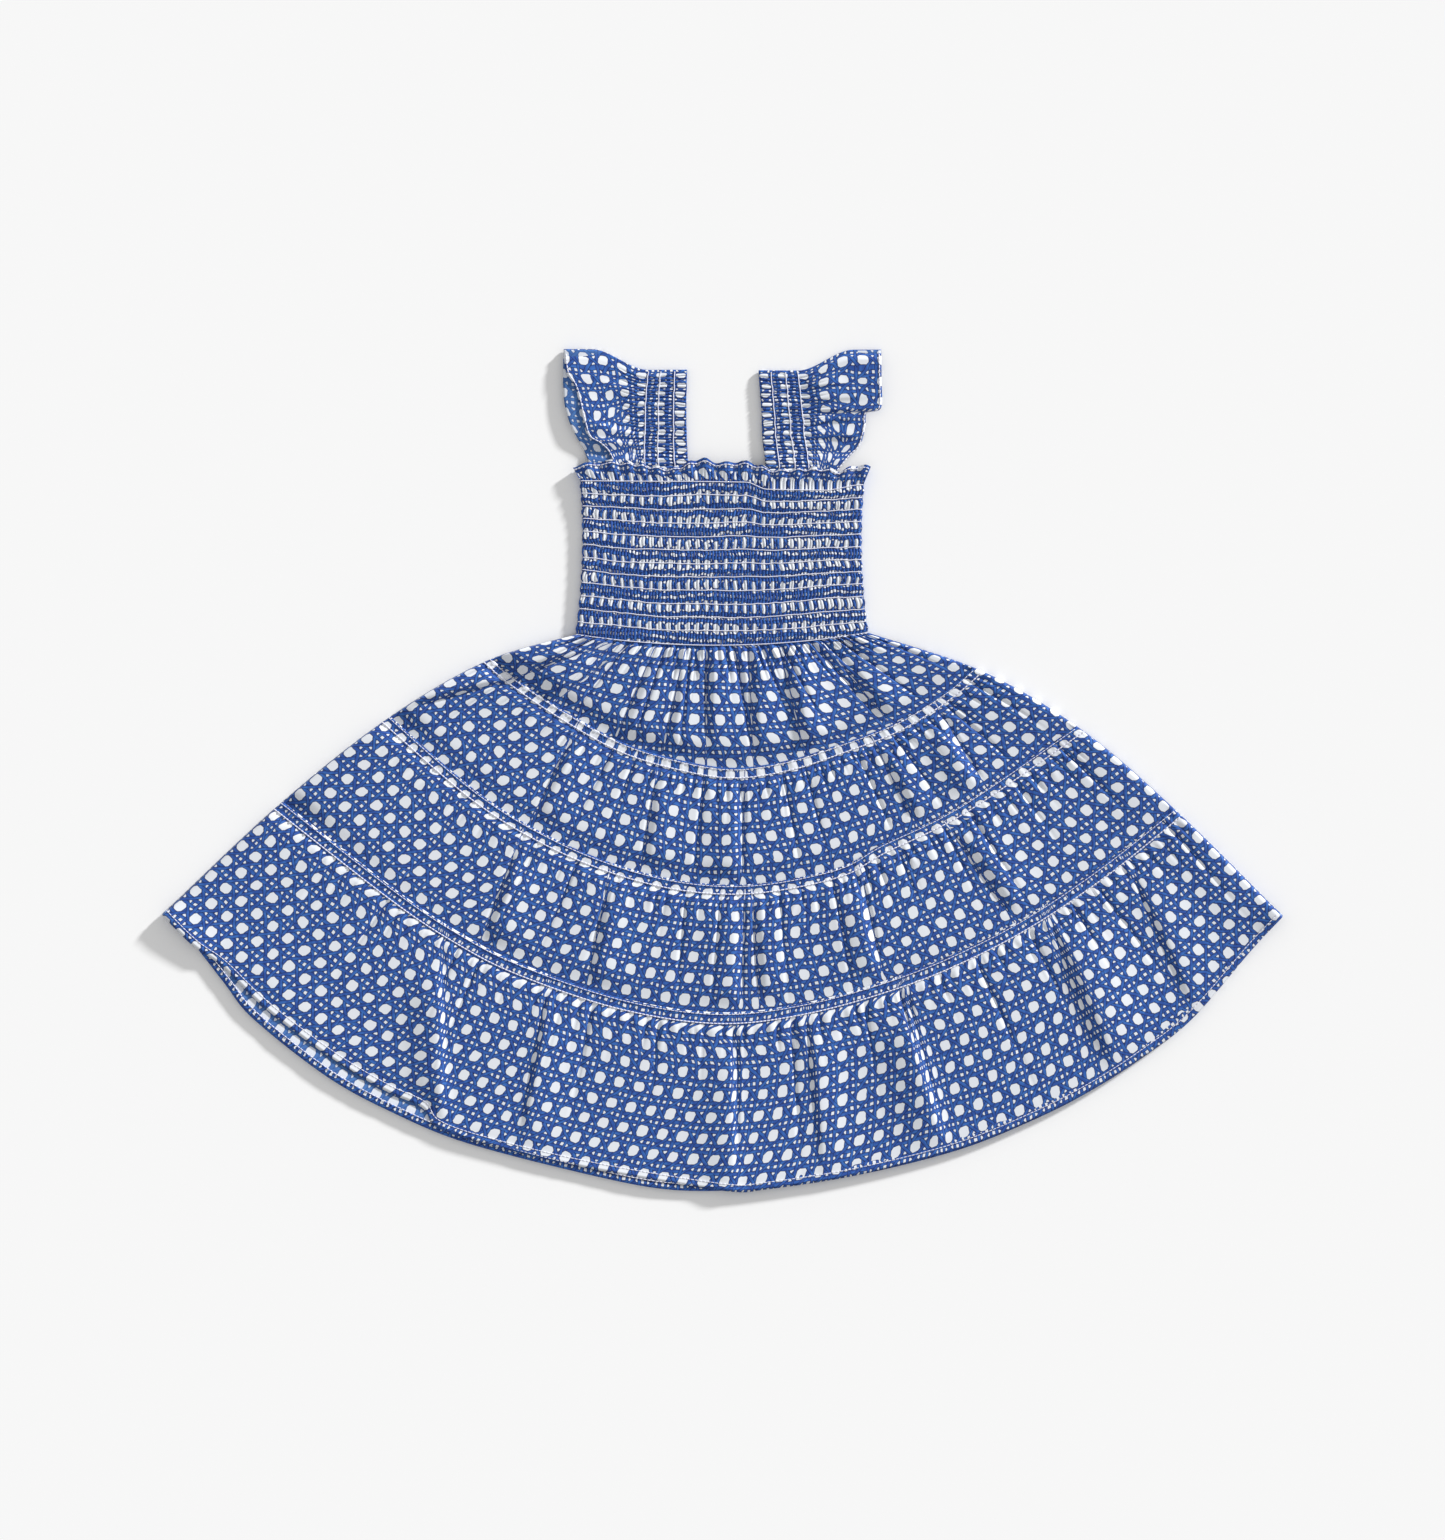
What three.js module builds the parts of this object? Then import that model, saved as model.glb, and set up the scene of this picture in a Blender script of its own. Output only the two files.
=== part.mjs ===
// A girl's tiered sundress of printed cotton, laid out flat on its back: a shirred bodice with a
// frilled neck edge, two flutter straps folded over at the shoulder and four gathered tiers.
// Millimetres. X to the right, Y towards the neck, Z up. The surface that it lies on is z = 0.
import * as THREE from 'three';

// Driving sizes
const WALL = 1.2; // cloth wall, the turned seam allowances and thread included
const GAP = 0.3; // space between two pieces that are sewn together
const FRONT_Z = WALL + GAP; // underside of the front pieces, on the back pieces
const TIER_DEPTH = 90; // least depth of a tier as it lies
const HEADING = 7; // folded heading of a lower tier, lapped over the tier above
const HEADING_LIFT = 2.6; // height of that heading over the front, clear of the tier's gathers
const LAP_DROP = 0.07; // share of a tier's depth in which it comes down from the seam
const GATHER_HEIGHT = 1.6;
const ROW_COUNT = 13; // shirring rows of the bodice
const ROW_BULGE = 1.7; // height of the cloth between two shirring rows
const BODICE_PUCKERS = 28;
const SCALLOP = 0.9; // how far the sides stand out between two rows
const FRILL_WAVES = 9;
const FRILL_WAVE_HEIGHT = 1.8;
const FRILL_LIFT = 5.0; // underside of the neck frill where the straps pass below it
const STRAP_GATHERS = 12;
const STRAP_END = 224; // Y of the straps' lower ends, behind the frill
const STRAP_OVER_FRILL = 231; // Y up to which the straps lie on the back frill
const STRAP_ON_FLOOR = 239; // Y from which the back run of a strap lies on the surface
const SHOULDER_ROLL = 1.1; // how far the fold at the shoulder stands out
const PRINT_BLUE = 0x5c80bb; // the blue cane print and its white ground, seen from afar

/** Turns rows of values into objects with the named columns. */
function table(columns, rows) {
  const names = columns.split(' ');
  return rows.map((row) => Object.fromEntries(names.map((name, i) => [name, row[i]])));
}

/** A smooth curve through the points of a table with the columns x and y. */
function seamCurve(rows) {
  const curve = new THREE.SplineCurve(table('x y', rows).map((p) => new THREE.Vector2(p.x, p.y)));
  curve.arcLengthDivisions = 400;
  return curve;
}

// The skirt's seams below the waist as they lie, from the left fold to the right one
const SEAM_1 = seamCurve([[-179, 81], [-159, 64], [-122, 39], [-77, 14], [-32, 0], [9, -6], [51, 0],
  [88, 12], [134, 30], [172, 54], [195, 74]]);
const SEAM_2 = seamCurve([[-255, 36], [-188, -22], [-133, -56], [-77, -79], [-24, -91], [28, -92],
  [88, -80], [122, -62], [182, -32], [271, 29]]);
const SEAM_3 = seamCurve([[-336, -29], [-249, -97], [-201, -129], [-154, -153], [-77, -179],
  [-2, -190], [66, -182], [136, -162], [189, -140], [237, -114], [291, -77], [344, -34]]);
const HEM_FRONT = seamCurve([[-419.6, -108], [-397, -131], [-375, -147], [-342, -179], [-293, -216],
  [-253, -240], [-225, -253], [-213, -268], [-171, -282], [-92, -300], [1, -315], [33, -314],
  [103, -303], [178, -284], [235, -261], [276, -240], [315, -215], [352, -186], [396, -135],
  [419.6, -109]]);
const HEM_BACK = seamCurve([[-419.6, -108], [-396, -131], [-373, -160], [-351, -187], [-293, -232],
  [-238, -261], [-193, -279], [-126, -297], [-58, -312], [-13, -315.4], [33, -312], [103, -300],
  [178, -280], [235, -257], [276, -236], [315, -210], [352, -181], [396, -130], [419.6, -108]]);

// Each tier's gathers and their share of the full height, and how they die down its depth
const TIERS = table('name gathers share', [
  ['tier_1', 24, 1.0],
  ['tier_2', 26, 0.9],
  ['tier_3', 30, 0.85],
  ['tier_4', 34, 0.8],
]);
const TIER_ROWS = table('depth gather', [
  [LAP_DROP, 1.0],
  [0.35, 0.75],
  [0.7, 0.45],
  [1.0, 0.3],
]);

// The largest folds of the front, as ridges: from one end of the crest to the other
const FOLDS = table('tier fromX fromY toX toY height width', [
  [1, -6, 90, -6, 22, 2.6, 9],
  [1, 26, 88, 29, 18, 2.8, 9],
  [1, 50, 92, 68, 14, 4.2, 10],
  [1, 98, 80, 128, 44, 3.4, 11],
  [1, -26, 70, -38, 16, 2.4, 9],
  [1, -50, 76, -72, 26, 2.4, 10],
  [1, -112, 92, -168, 70, 2.8, 9],
  [2, 158, 38, 192, -18, 4.0, 11],
  [2, 124, 16, 152, -40, 2.8, 10],
  [2, 8, -16, 6, -86, 2.6, 12],
  [2, -44, -12, -54, -70, 2.4, 10],
  [2, -108, 20, -134, -34, 2.6, 10],
  [3, -150, -68, -172, -126, 3.6, 11],
  [3, -80, -88, -94, -160, 2.8, 10],
  [3, 8, -100, 6, -180, 2.6, 12],
  [3, 30, -102, 34, -170, 2.2, 10],
  [3, 98, -86, 112, -152, 3.0, 11],
  [3, 182, -46, 222, -104, 2.8, 12],
  [4, -214, -142, -212, -244, 4.2, 13],
  [4, -128, -172, -146, -268, 3.0, 12],
  [4, 6, -200, 6, -296, 2.8, 13],
  [4, 68, -190, 76, -280, 2.4, 11],
  [4, 134, -176, 160, -268, 4.4, 14],
  [4, 244, -130, 298, -206, 4.6, 14],
]);

// The bodice's sides draw in most at one of its rows, and flare from there by the square of the rows
const BODICE_NIP_ROW = 4.5;
const BODICE_SIDES = { left: { nip: -104.6, flare: -0.092 }, right: { nip: 103.8, flare: 0.09 } };
// The rows dip in the middle, and their spacing is a little wider there
const ROWS = { left: [216.4, 9.57], middle: [215.6, 10.18], right: [213.6, 9.22] };
const FRILL_EDGE = seamCurve([[-112, 227], [-92, 231], [-73, 231], [-54, 228], [-38, 226],
  [-24, 231], [-14, 233], [-2, 230], [17, 231], [28, 228], [39, 225], [58, 226], [77, 226],
  [88, 224], [100, 228], [111, 227]]);

// The straps' edges, from the frill up to the shoulder fold
const STRAPS = [
  {
    name: 'flutter_strap_left',
    inner: seamCurve([[-25, STRAP_END], [-26, 235], [-27, 258], [-27, 277], [-26.5, 299]]),
    outerFront: seamCurve([[-79, STRAP_END], [-85, 238], [-92, 245], [-100, 250], [-104, 262],
      [-110, 286], [-117, 298], [-119, 314.4]]),
    outerBack: seamCurve([[-98, STRAP_END], [-104, 240], [-114, 259], [-119, 280], [-119, 314.4]]),
    step: null,
  },
  {
    name: 'flutter_strap_right',
    inner: seamCurve([[32, STRAP_END], [32, 231], [30, 247], [29, 270], [28, 285], [27, 298.5]]),
    outerFront: seamCurve([[86, STRAP_END], [96, 236], [103, 243], [107, 257], [108, 267],
      [118.6, 271], [119, 292], [118.8, 314]]),
    outerBack: seamCurve([[85, STRAP_END], [93, 238], [101, 251], [106, 266], [117, 281], [118.6, 314]]),
    step: { y: 269, rise: 2.2, run: 4 }, // the upper part of the flutter is folded over the lower
  },
];
// Columns across a strap: share of its width, and share of the gathers' height
const STRAP_COLUMNS = table('across gather', [
  [0, 1.0],
  [0.11, 0.4],
  [0.22, 0.6],
  [0.33, 0.4],
  [0.5, 0.8],
  [0.74, 0.5],
  [1, 0.3],
]);
const STRAP_GATHER_HEIGHT = 1.5;
const SHIRRED_SHARE = 0.33; // share of a strap's width that its three stitch lines take
const SHOULDER_RISE = 0.45; // share of the width in which the shoulder line rises to the flutter

const printedCotton = new THREE.MeshStandardMaterial({
  color: PRINT_BLUE,
  roughness: 0.85,
  metalness: 0,
});

// Meshes

/** Joins a closed solid's triangles and turns its faces outwards. */
function closedGeometry(points, triangles) {
  const geometry = new THREE.BufferGeometry();
  geometry.setAttribute('position', new THREE.Float32BufferAttribute(points.flatMap((p) => p.toArray()), 3));
  let volume = 0;
  for (const [a, b, c] of triangles) {
    volume += points[a].dot(new THREE.Vector3().crossVectors(points[b], points[c]));
  }
  geometry.setIndex(triangles.flatMap(([a, b, c]) => (volume > 0 ? [a, b, c] : [a, c, b])));
  geometry.computeVertexNormals();
  return geometry;
}

/** The triangles of a grid of rows and columns, its first vertex at the given index. */
function gridTriangles(rowCount, columnCount, first, flipped) {
  const triangles = [];
  for (let r = 0; r < rowCount - 1; r += 1) {
    for (let c = 0; c < columnCount - 1; c += 1) {
      const i = first + r * columnCount + c;
      const below = i + columnCount;
      triangles.push(...(flipped ? [[i, i + 1, below + 1], [i, below + 1, below]]
        : [[i, below + 1, i + 1], [i, below, below + 1]]));
    }
  }
  return triangles;
}

/** The indices round the edge of a grid, in order. */
function gridEdge(rowCount, columnCount) {
  const edge = [];
  for (let c = 0; c < columnCount; c += 1) edge.push(c);
  for (let r = 1; r < rowCount; r += 1) edge.push(r * columnCount + columnCount - 1);
  for (let c = columnCount - 2; c >= 0; c -= 1) edge.push((rowCount - 1) * columnCount + c);
  for (let r = rowCount - 2; r > 0; r -= 1) edge.push(r * columnCount);
  return edge;
}

/** A cloth wall between an outer and an inner grid of points, closed round its edge. */
function wallGeometry(outer, inner) {
  const rowCount = outer.length;
  const columnCount = outer[0].length;
  const size = rowCount * columnCount;
  const triangles = gridTriangles(rowCount, columnCount, 0, false)
    .concat(gridTriangles(rowCount, columnCount, size, true));
  const edge = gridEdge(rowCount, columnCount);
  edge.forEach((a, i) => {
    const b = edge[(i + 1) % edge.length];
    triangles.push([a, b, b + size], [a, b + size, a + size]);
  });
  return closedGeometry(outer.flat().concat(inner.flat()), triangles);
}

/** A cloth wall whose outside is a grid of points and whose inside is the plane at a height. */
function plainInsideGeometry(outer, height) {
  const edge = gridEdge(outer.length, outer[0].length);
  const points = outer.flat();
  const size = points.length;
  const rim = edge.map((i) => new THREE.Vector3(points[i].x, points[i].y, height));
  const triangles = gridTriangles(outer.length, outer[0].length, 0, false);
  edge.forEach((a, i) => {
    const next = (i + 1) % edge.length;
    triangles.push([a, edge[next], size + next], [a, size + next, size + i]);
  });
  const clockwise = THREE.ShapeUtils.isClockWise(rim);
  for (const [a, b, c] of THREE.ShapeUtils.triangulateShape(rim, [])) {
    const sameTurn = THREE.ShapeUtils.isClockWise([rim[a], rim[b], rim[c]]) === clockwise;
    triangles.push(sameTurn ? [size + a, size + b, size + c] : [size + a, size + c, size + b]);
  }
  return closedGeometry(points.concat(rim), triangles);
}

/** A flat cloth wall on the surface, from its outline. */
function flatGeometry(outline) {
  return new THREE.ExtrudeGeometry(new THREE.Shape(outline), { depth: WALL, bevelEnabled: false });
}

function addPiece(group, name, geometry) {
  const mesh = new THREE.Mesh(geometry, printedCotton);
  mesh.name = name;
  group.add(mesh);
}

// Bodice

/** The point of the bodice at a share across and a shirring row, 0 for the top one. */
function bodicePoint(across, row) {
  const scallop = SCALLOP * Math.sin(Math.PI * row) ** 2;
  const flared = (row - BODICE_NIP_ROW) ** 2;
  const left = BODICE_SIDES.left.nip + BODICE_SIDES.left.flare * flared - scallop;
  const right = BODICE_SIDES.right.nip + BODICE_SIDES.right.flare * flared + scallop;
  const [yLeft, yMiddle, yRight] = [ROWS.left, ROWS.middle, ROWS.right].map(([y, pitch]) => y - pitch * row);
  const sag = (yLeft + yRight) / 2 - yMiddle;
  const y = THREE.MathUtils.lerp(yLeft, yRight, across) - 4 * sag * across * (1 - across);
  return new THREE.Vector2(THREE.MathUtils.lerp(left, right, across), y);
}

function bodiceFront() {
  const columnCount = BODICE_PUCKERS * 2;
  const lastRow = ROW_COUNT - 1;
  const outer = [];
  for (let half = 0; half <= lastRow * 2; half += 1) {
    const between = half % 2 === 1;
    const line = [];
    for (let c = 0; c <= columnCount; c += 1) {
      const p = bodicePoint(c / columnCount, half / 2);
      const pucker = (c % 2 === 0 ? 0.5 : 0) * fullness(c / columnCount, half / 5);
      line.push(new THREE.Vector3(p.x, p.y, FRONT_Z + WALL + pucker + (between ? ROW_BULGE : 0)));
    }
    outer.push(line);
  }
  return plainInsideGeometry(outer, FRONT_Z);
}

function bodiceBack() {
  const acrossSteps = 10;
  const lastRow = ROW_COUNT - 1;
  const outline = [];
  for (let i = 0; i <= acrossSteps; i += 1) outline.push(bodicePoint(i / acrossSteps, 0));
  for (let half = 1; half < lastRow * 2; half += 1) outline.push(bodicePoint(1, half / 2));
  for (let i = acrossSteps; i >= 0; i -= 1) outline.push(bodicePoint(i / acrossSteps, lastRow));
  for (let half = lastRow * 2 - 1; half > 0; half -= 1) outline.push(bodicePoint(0, half / 2));
  return flatGeometry(outline);
}

/** The point of the neck frill at a share across and a share up from the top shirring row. */
function frillPoint(across, up) {
  const base = bodicePoint(across, 0);
  base.y += GAP;
  return base.lerp(FRILL_EDGE.getPointAt(across), up);
}

function frillFront() {
  const columnCount = FRILL_WAVES * 6;
  const lift = FRILL_LIFT - FRONT_Z;
  const rows = table('up lift wave', [[0, 0, 0.2], [0.4, lift, 0.5], [1, lift, 1]]);
  const wall = (thickness) => rows.map((row) => Array.from({ length: columnCount + 1 }, (_, c) => {
    const p = frillPoint(c / columnCount, row.up);
    const wave = row.wave * FRILL_WAVE_HEIGHT * (0.5 - 0.5 * Math.cos((2 * Math.PI * c) / 6));
    return new THREE.Vector3(p.x, p.y, FRONT_Z + row.lift + wave + thickness);
  }));
  return wallGeometry(wall(WALL), wall(0));
}

function frillBack() {
  const steps = 30;
  const backShare = 0.86; // the back's frill is hidden behind the front's
  const outline = [];
  for (let i = 0; i <= steps; i += 1) outline.push(frillPoint(i / steps, 0));
  for (let i = steps; i >= 0; i -= 1) outline.push(frillPoint(i / steps, backShare));
  return flatGeometry(outline);
}

// Skirt

/** The point of the laid-out skirt at a share across it and a tier count down from the waist. */
function skirtPoint(across, down, hem) {
  const waist = bodicePoint(across, ROW_COUNT - 1);
  const lower = [SEAM_1, SEAM_2, SEAM_3, hem].map((seam) => seam.getPointAt(across));
  const line = new THREE.SplineCurve([waist, ...lower]);
  return line.getPoint(THREE.MathUtils.clamp(down / TIERS.length, 0, 1));
}

/** The height of a tier's large folds at a point. A ridge is steeper on its left side. */
function foldHeight(tier, point) {
  let height = 0;
  for (const fold of FOLDS.filter((row) => row.tier === tier)) {
    const start = new THREE.Vector2(fold.fromX, fold.fromY);
    const crest = new THREE.Vector2(fold.toX, fold.toY).sub(start);
    const along = point.clone().sub(start).dot(crest) / crest.lengthSq();
    if (along <= 0 || along >= 1) continue;
    const aside = point.clone().sub(start).cross(crest) / crest.length();
    const width = aside > 0 ? fold.width * 1.25 : fold.width * 0.75;
    height += fold.height * Math.sin(Math.PI * along) ** 0.7 * Math.exp(-((aside / width) ** 2));
  }
  return height;
}

/** Shares across a gathered edge, unevenly spaced as hand-pulled gathers are, three to a gather. */
function gatherColumns(gathers) {
  const count = gathers * 3;
  return Array.from({ length: count + 1 }, (_, i) => {
    const even = i / count;
    const drift = 0.004 * Math.sin(2 * Math.PI * 7 * even) + 0.003 * Math.sin(2 * Math.PI * 11 * even);
    return { across: even + drift, crest: i % 3 === 0 ? 1 : 0.2 };
  });
}

/** How full the gathers are at a share across, so that no two stretches are alike. */
function fullness(across, tier) {
  return 0.7 + 0.3 * Math.sin(2 * Math.PI * (4.3 * across + 0.37 * tier));
}

function tierFront(tier, index) {
  const columns = gatherColumns(tier.gathers);
  const rows = TIER_ROWS.map((row) => ({ down: index + row.depth, gather: row.gather, lift: 0 }));
  if (index === 0) {
    rows.unshift({ down: GAP / TIER_DEPTH, gather: 0.6, lift: 0 });
  } else {
    rows.unshift({ down: index, gather: 0.6, lift: HEADING_LIFT });
    rows.unshift({ down: index - HEADING / TIER_DEPTH, gather: 0.5, lift: HEADING_LIFT });
  }
  const wall = (thickness) => rows.map((row) => columns.map((column) => {
    const p = skirtPoint(column.across, row.down, HEM_FRONT);
    const gather = GATHER_HEIGHT * tier.share * row.gather * column.crest * fullness(column.across, index);
    const height = FRONT_Z + row.lift + foldHeight(index + 1, p) + gather + thickness;
    return new THREE.Vector3(p.x, p.y, height);
  }));
  return wallGeometry(wall(WALL), wall(0));
}

function tierBack(index) {
  const acrossSteps = 26;
  const downSteps = 5;
  const top = index + GAP / TIER_DEPTH;
  const outline = [];
  for (let i = 0; i <= acrossSteps; i += 1) outline.push(skirtPoint(i / acrossSteps, top, HEM_BACK));
  for (let i = 1; i < downSteps; i += 1) {
    outline.push(skirtPoint(1, top + (i / downSteps) * (index + 1 - top), HEM_BACK));
  }
  for (let i = acrossSteps; i >= 0; i -= 1) outline.push(skirtPoint(i / acrossSteps, index + 1, HEM_BACK));
  for (let i = downSteps - 1; i > 0; i -= 1) {
    outline.push(skirtPoint(0, top + (i / downSteps) * (index + 1 - top), HEM_BACK));
  }
  return flatGeometry(outline);
}

// Straps

/** The point of a strap's run at a share across and a share up to the shoulder. */
function strapPoint(strap, outerEdge, across, up) {
  const inner = strap.inner.getPointAt(up);
  const outer = outerEdge.getPointAt(up);
  const rise = THREE.MathUtils.smoothstep(across, SHIRRED_SHARE, SHIRRED_SHARE + SHOULDER_RISE) - across;
  const top = outerEdge.getPointAt(1).y - strap.inner.getPointAt(1).y;
  const p = inner.lerp(outer, across);
  p.y += rise * top * up ** 2;
  return p;
}

/** How high the straps' back run lies over the surface: on the back frill, then on the surface. */
function strapBase(y) {
  return FRONT_Z * (1 - THREE.MathUtils.smoothstep(y, STRAP_OVER_FRILL, STRAP_ON_FLOOR));
}

/** The height that a fold across the flutter gives to the part above it. */
function stepHeight(step, across, y) {
  if (step === null) return 0;
  const flutter = THREE.MathUtils.smoothstep(across, SHIRRED_SHARE, 0.6);
  return step.rise * flutter * THREE.MathUtils.smoothstep(y, step.y - step.run / 2, step.y + step.run / 2);
}

function flutterStrap(strap) {
  const outerFace = [];
  const innerFace = [];
  const addRow = (edge, up, heights) => {
    const places = STRAP_COLUMNS.map((column) => strapPoint(strap, edge, column.across, up));
    outerFace.push(places.map((p, i) => new THREE.Vector3(p.x, p.y + heights.roll, heights.outer(p, i))));
    innerFace.push(places.map((p, i) => new THREE.Vector3(p.x, p.y, heights.inner(p, i))));
  };
  const frontRows = STRAP_GATHERS * 3;
  for (let r = 0; r <= frontRows; r += 1) {
    const up = r / (frontRows + 1);
    const crest = r % 3 === 1 ? 1 : 0.15;
    const height = (p, i) => {
      const { across, gather } = STRAP_COLUMNS[i];
      const free = THREE.MathUtils.smoothstep(p.y, STRAP_END, STRAP_ON_FLOOR);
      const gathered = STRAP_GATHER_HEIGHT * crest * gather * (0.2 + 0.8 * free);
      return FRONT_Z + strapBase(p.y) + gathered + stepHeight(strap.step, across, p.y) * (1 - up ** 6);
    };
    addRow(strap.outerFront, up, { roll: 0, outer: (p, i) => height(p, i) + WALL, inner: height });
  }
  // the fold at the shoulder: the cloth turns from the front run to the back run
  addRow(strap.outerFront, 1, {
    roll: SHOULDER_ROLL,
    outer: () => FRONT_Z + WALL * 0.4,
    inner: () => FRONT_Z,
  });
  addRow(strap.outerBack, 1, { roll: SHOULDER_ROLL, outer: () => WALL * 0.5, inner: () => WALL });
  for (const up of [0.9, 0.6, 0.35, 0.22, 0.1, 0]) {
    addRow(strap.outerBack, up, {
      roll: 0,
      outer: (p) => strapBase(p.y),
      inner: (p) => strapBase(p.y) + WALL,
    });
  }
  return wallGeometry(outerFace, innerFace);
}

const dress = new THREE.Group();
addPiece(dress, 'bodice_front', bodiceFront());
addPiece(dress, 'bodice_back', bodiceBack());
addPiece(dress, 'neck_frill_front', frillFront());
addPiece(dress, 'neck_frill_back', frillBack());
TIERS.forEach((tier, index) => {
  addPiece(dress, `${tier.name}_front`, tierFront(tier, index));
  addPiece(dress, `${tier.name}_back`, tierBack(index));
});
for (const strap of STRAPS) addPiece(dress, strap.name, flutterStrap(strap));

export default dress;
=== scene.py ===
"""A girl's tiered sundress of printed cotton, laid flat on a pale floor and seen from straight above.

The dress is made as a maker sews it. The bodice and its neck frill are one cut, shirred on thirteen rows
of elastic thread. Four skirt tiers hang below it, each a tube whose folded heading laps over the tier
above and is held by two stitch lines. Two shirred straps with a flutter fold over at the shoulder.

Lengths in the classes are millimetres, of the dress as it lies or of the flat cloth, as each field says.
X is to the right, Y towards the neck and Z up, as in the frame.
"""

import logging
import math
from collections.abc import Sequence
from dataclasses import dataclass, field
from enum import Enum
from typing import Any

import bpy
import numpy as np
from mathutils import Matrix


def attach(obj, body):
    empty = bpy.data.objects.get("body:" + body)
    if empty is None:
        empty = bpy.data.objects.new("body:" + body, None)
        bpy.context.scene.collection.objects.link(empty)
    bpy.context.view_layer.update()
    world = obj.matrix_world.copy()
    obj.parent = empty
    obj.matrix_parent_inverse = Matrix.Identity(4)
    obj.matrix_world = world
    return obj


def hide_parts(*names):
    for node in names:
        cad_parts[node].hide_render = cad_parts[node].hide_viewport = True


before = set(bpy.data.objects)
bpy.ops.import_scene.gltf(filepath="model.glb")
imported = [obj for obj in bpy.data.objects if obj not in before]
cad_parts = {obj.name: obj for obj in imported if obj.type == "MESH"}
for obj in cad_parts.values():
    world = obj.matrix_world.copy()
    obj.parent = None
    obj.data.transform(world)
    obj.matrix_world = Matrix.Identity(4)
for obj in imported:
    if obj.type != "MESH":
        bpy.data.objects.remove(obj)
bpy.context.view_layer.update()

LOG = logging.getLogger("sundress")
MM = 0.001
PHOTO_HEIGHT_MM = 1155.0


class Side(Enum):
    """The two sides of a laid-out tube."""

    FRONT = "front"
    BACK = "back"


class ClothSlot(Enum):
    """Material slots of a cloth mesh, in the order in which Solidify uses them."""

    RIGHT = 0
    WRONG = 1


def linear_colour(text: str) -> tuple[float, float, float, float]:
    """Turns an sRGB hex colour into the linear values that a shader takes.

    Args:
        text: six hex digits after a hash sign.

    Returns:
        Red, green and blue in linear light, and an alpha of one.
    """
    shares = [int(text[i:i + 2], 16) / 255 for i in (1, 3, 5)]
    linear = [c / 12.92 if c <= 0.04045 else ((c + 0.055) / 1.055) ** 2.4 for c in shares]
    return linear[0], linear[1], linear[2], 1.0


def add_node(tree: bpy.types.NodeTree, kind: str, inputs: dict[Any, Any] | None = None,
             **settings: Any) -> bpy.types.Node:
    """Adds a shader node with its settings and links.

    Args:
        tree: the node tree.
        kind: the node's type name.
        inputs: values or sockets, by the name or number of the input that each goes to.
        **settings: the node's own properties.

    Returns:
        The new node.
    """
    node = tree.nodes.new(kind)
    for name, value in settings.items():
        setattr(node, name, value)
    for key, value in (inputs or {}).items():
        if isinstance(value, bpy.types.NodeSocket):
            tree.links.new(value, node.inputs[key])
        else:
            node.inputs[key].default_value = value
    return node


def new_material(name: str) -> tuple[bpy.types.Material, bpy.types.NodeTree, bpy.types.Node]:
    """Makes an empty material.

    Args:
        name: the material's name.

    Returns:
        The material, its node tree and its surface shader.
    """
    material = bpy.data.materials.new(name)
    material.use_nodes = True
    return material, material.node_tree, material.node_tree.nodes["Principled BSDF"]


def new_piece(name: str, points: list[np.ndarray], faces: Sequence[Sequence[int]],
              materials: list[bpy.types.Material]) -> bpy.types.Object:
    """Makes a smooth-shaded object and links it into the scene.

    Args:
        name: the piece's name.
        points: arrays of X, Y and Z, in millimetres.
        faces: the corners of each face.
        materials: the materials, in the order of their slots.

    Returns:
        The new object.
    """
    mesh = bpy.data.meshes.new(name)
    mesh.from_pydata((np.concatenate(points) * MM).tolist(), [], faces)
    for material in materials:
        mesh.materials.append(material)
    mesh.polygons.foreach_set("use_smooth", np.ones(len(faces), dtype=bool))
    mesh.update()
    piece = bpy.data.objects.new(name, mesh)
    bpy.context.scene.collection.objects.link(piece)
    return piece


def smooth_step(x: np.ndarray, low: float, high: float) -> np.ndarray:
    """Rises smoothly from 0 at low to 1 at high."""
    share = np.clip((x - low) / (high - low), 0.0, 1.0)
    return share * share * (3 - 2 * share)


def bump(x: np.ndarray, width: float | np.ndarray) -> np.ndarray:
    """A soft bell of height one about zero."""
    return np.exp(-((x / width) ** 2))


def noise_line(x: np.ndarray, seed: int) -> np.ndarray:
    """Smooth noise along a line, from -1 to 1, with one value for each whole number.

    Args:
        x: places along the line.
        seed: which noise.

    Returns:
        The noise at each place.
    """
    values = np.random.default_rng(seed).uniform(-1, 1, 512)
    cell = np.floor(x).astype(int)
    share = x - cell
    share = share * share * (3 - 2 * share)
    return values[cell % 512] * (1 - share) + values[(cell + 1) % 512] * share


def noise_field(x: np.ndarray, y: np.ndarray, seed: int) -> np.ndarray:
    """Smooth noise over a plane, from -1 to 1, with one value for each whole pair of numbers.

    Args:
        x: first coordinates.
        y: second coordinates.
        seed: which noise.

    Returns:
        The noise at each place.
    """
    values = np.random.default_rng(seed).uniform(-1, 1, (64, 64))
    column, row = np.floor(x).astype(int), np.floor(y).astype(int)
    u, v = x - column, y - row
    u, v = u * u * (3 - 2 * u), v * v * (3 - 2 * v)
    c0, c1, r0, r1 = column % 64, (column + 1) % 64, row % 64, (row + 1) % 64
    return ((values[c0, r0] * (1 - u) + values[c1, r0] * u) * (1 - v)
            + (values[c0, r1] * (1 - u) + values[c1, r1] * u) * v)


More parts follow.
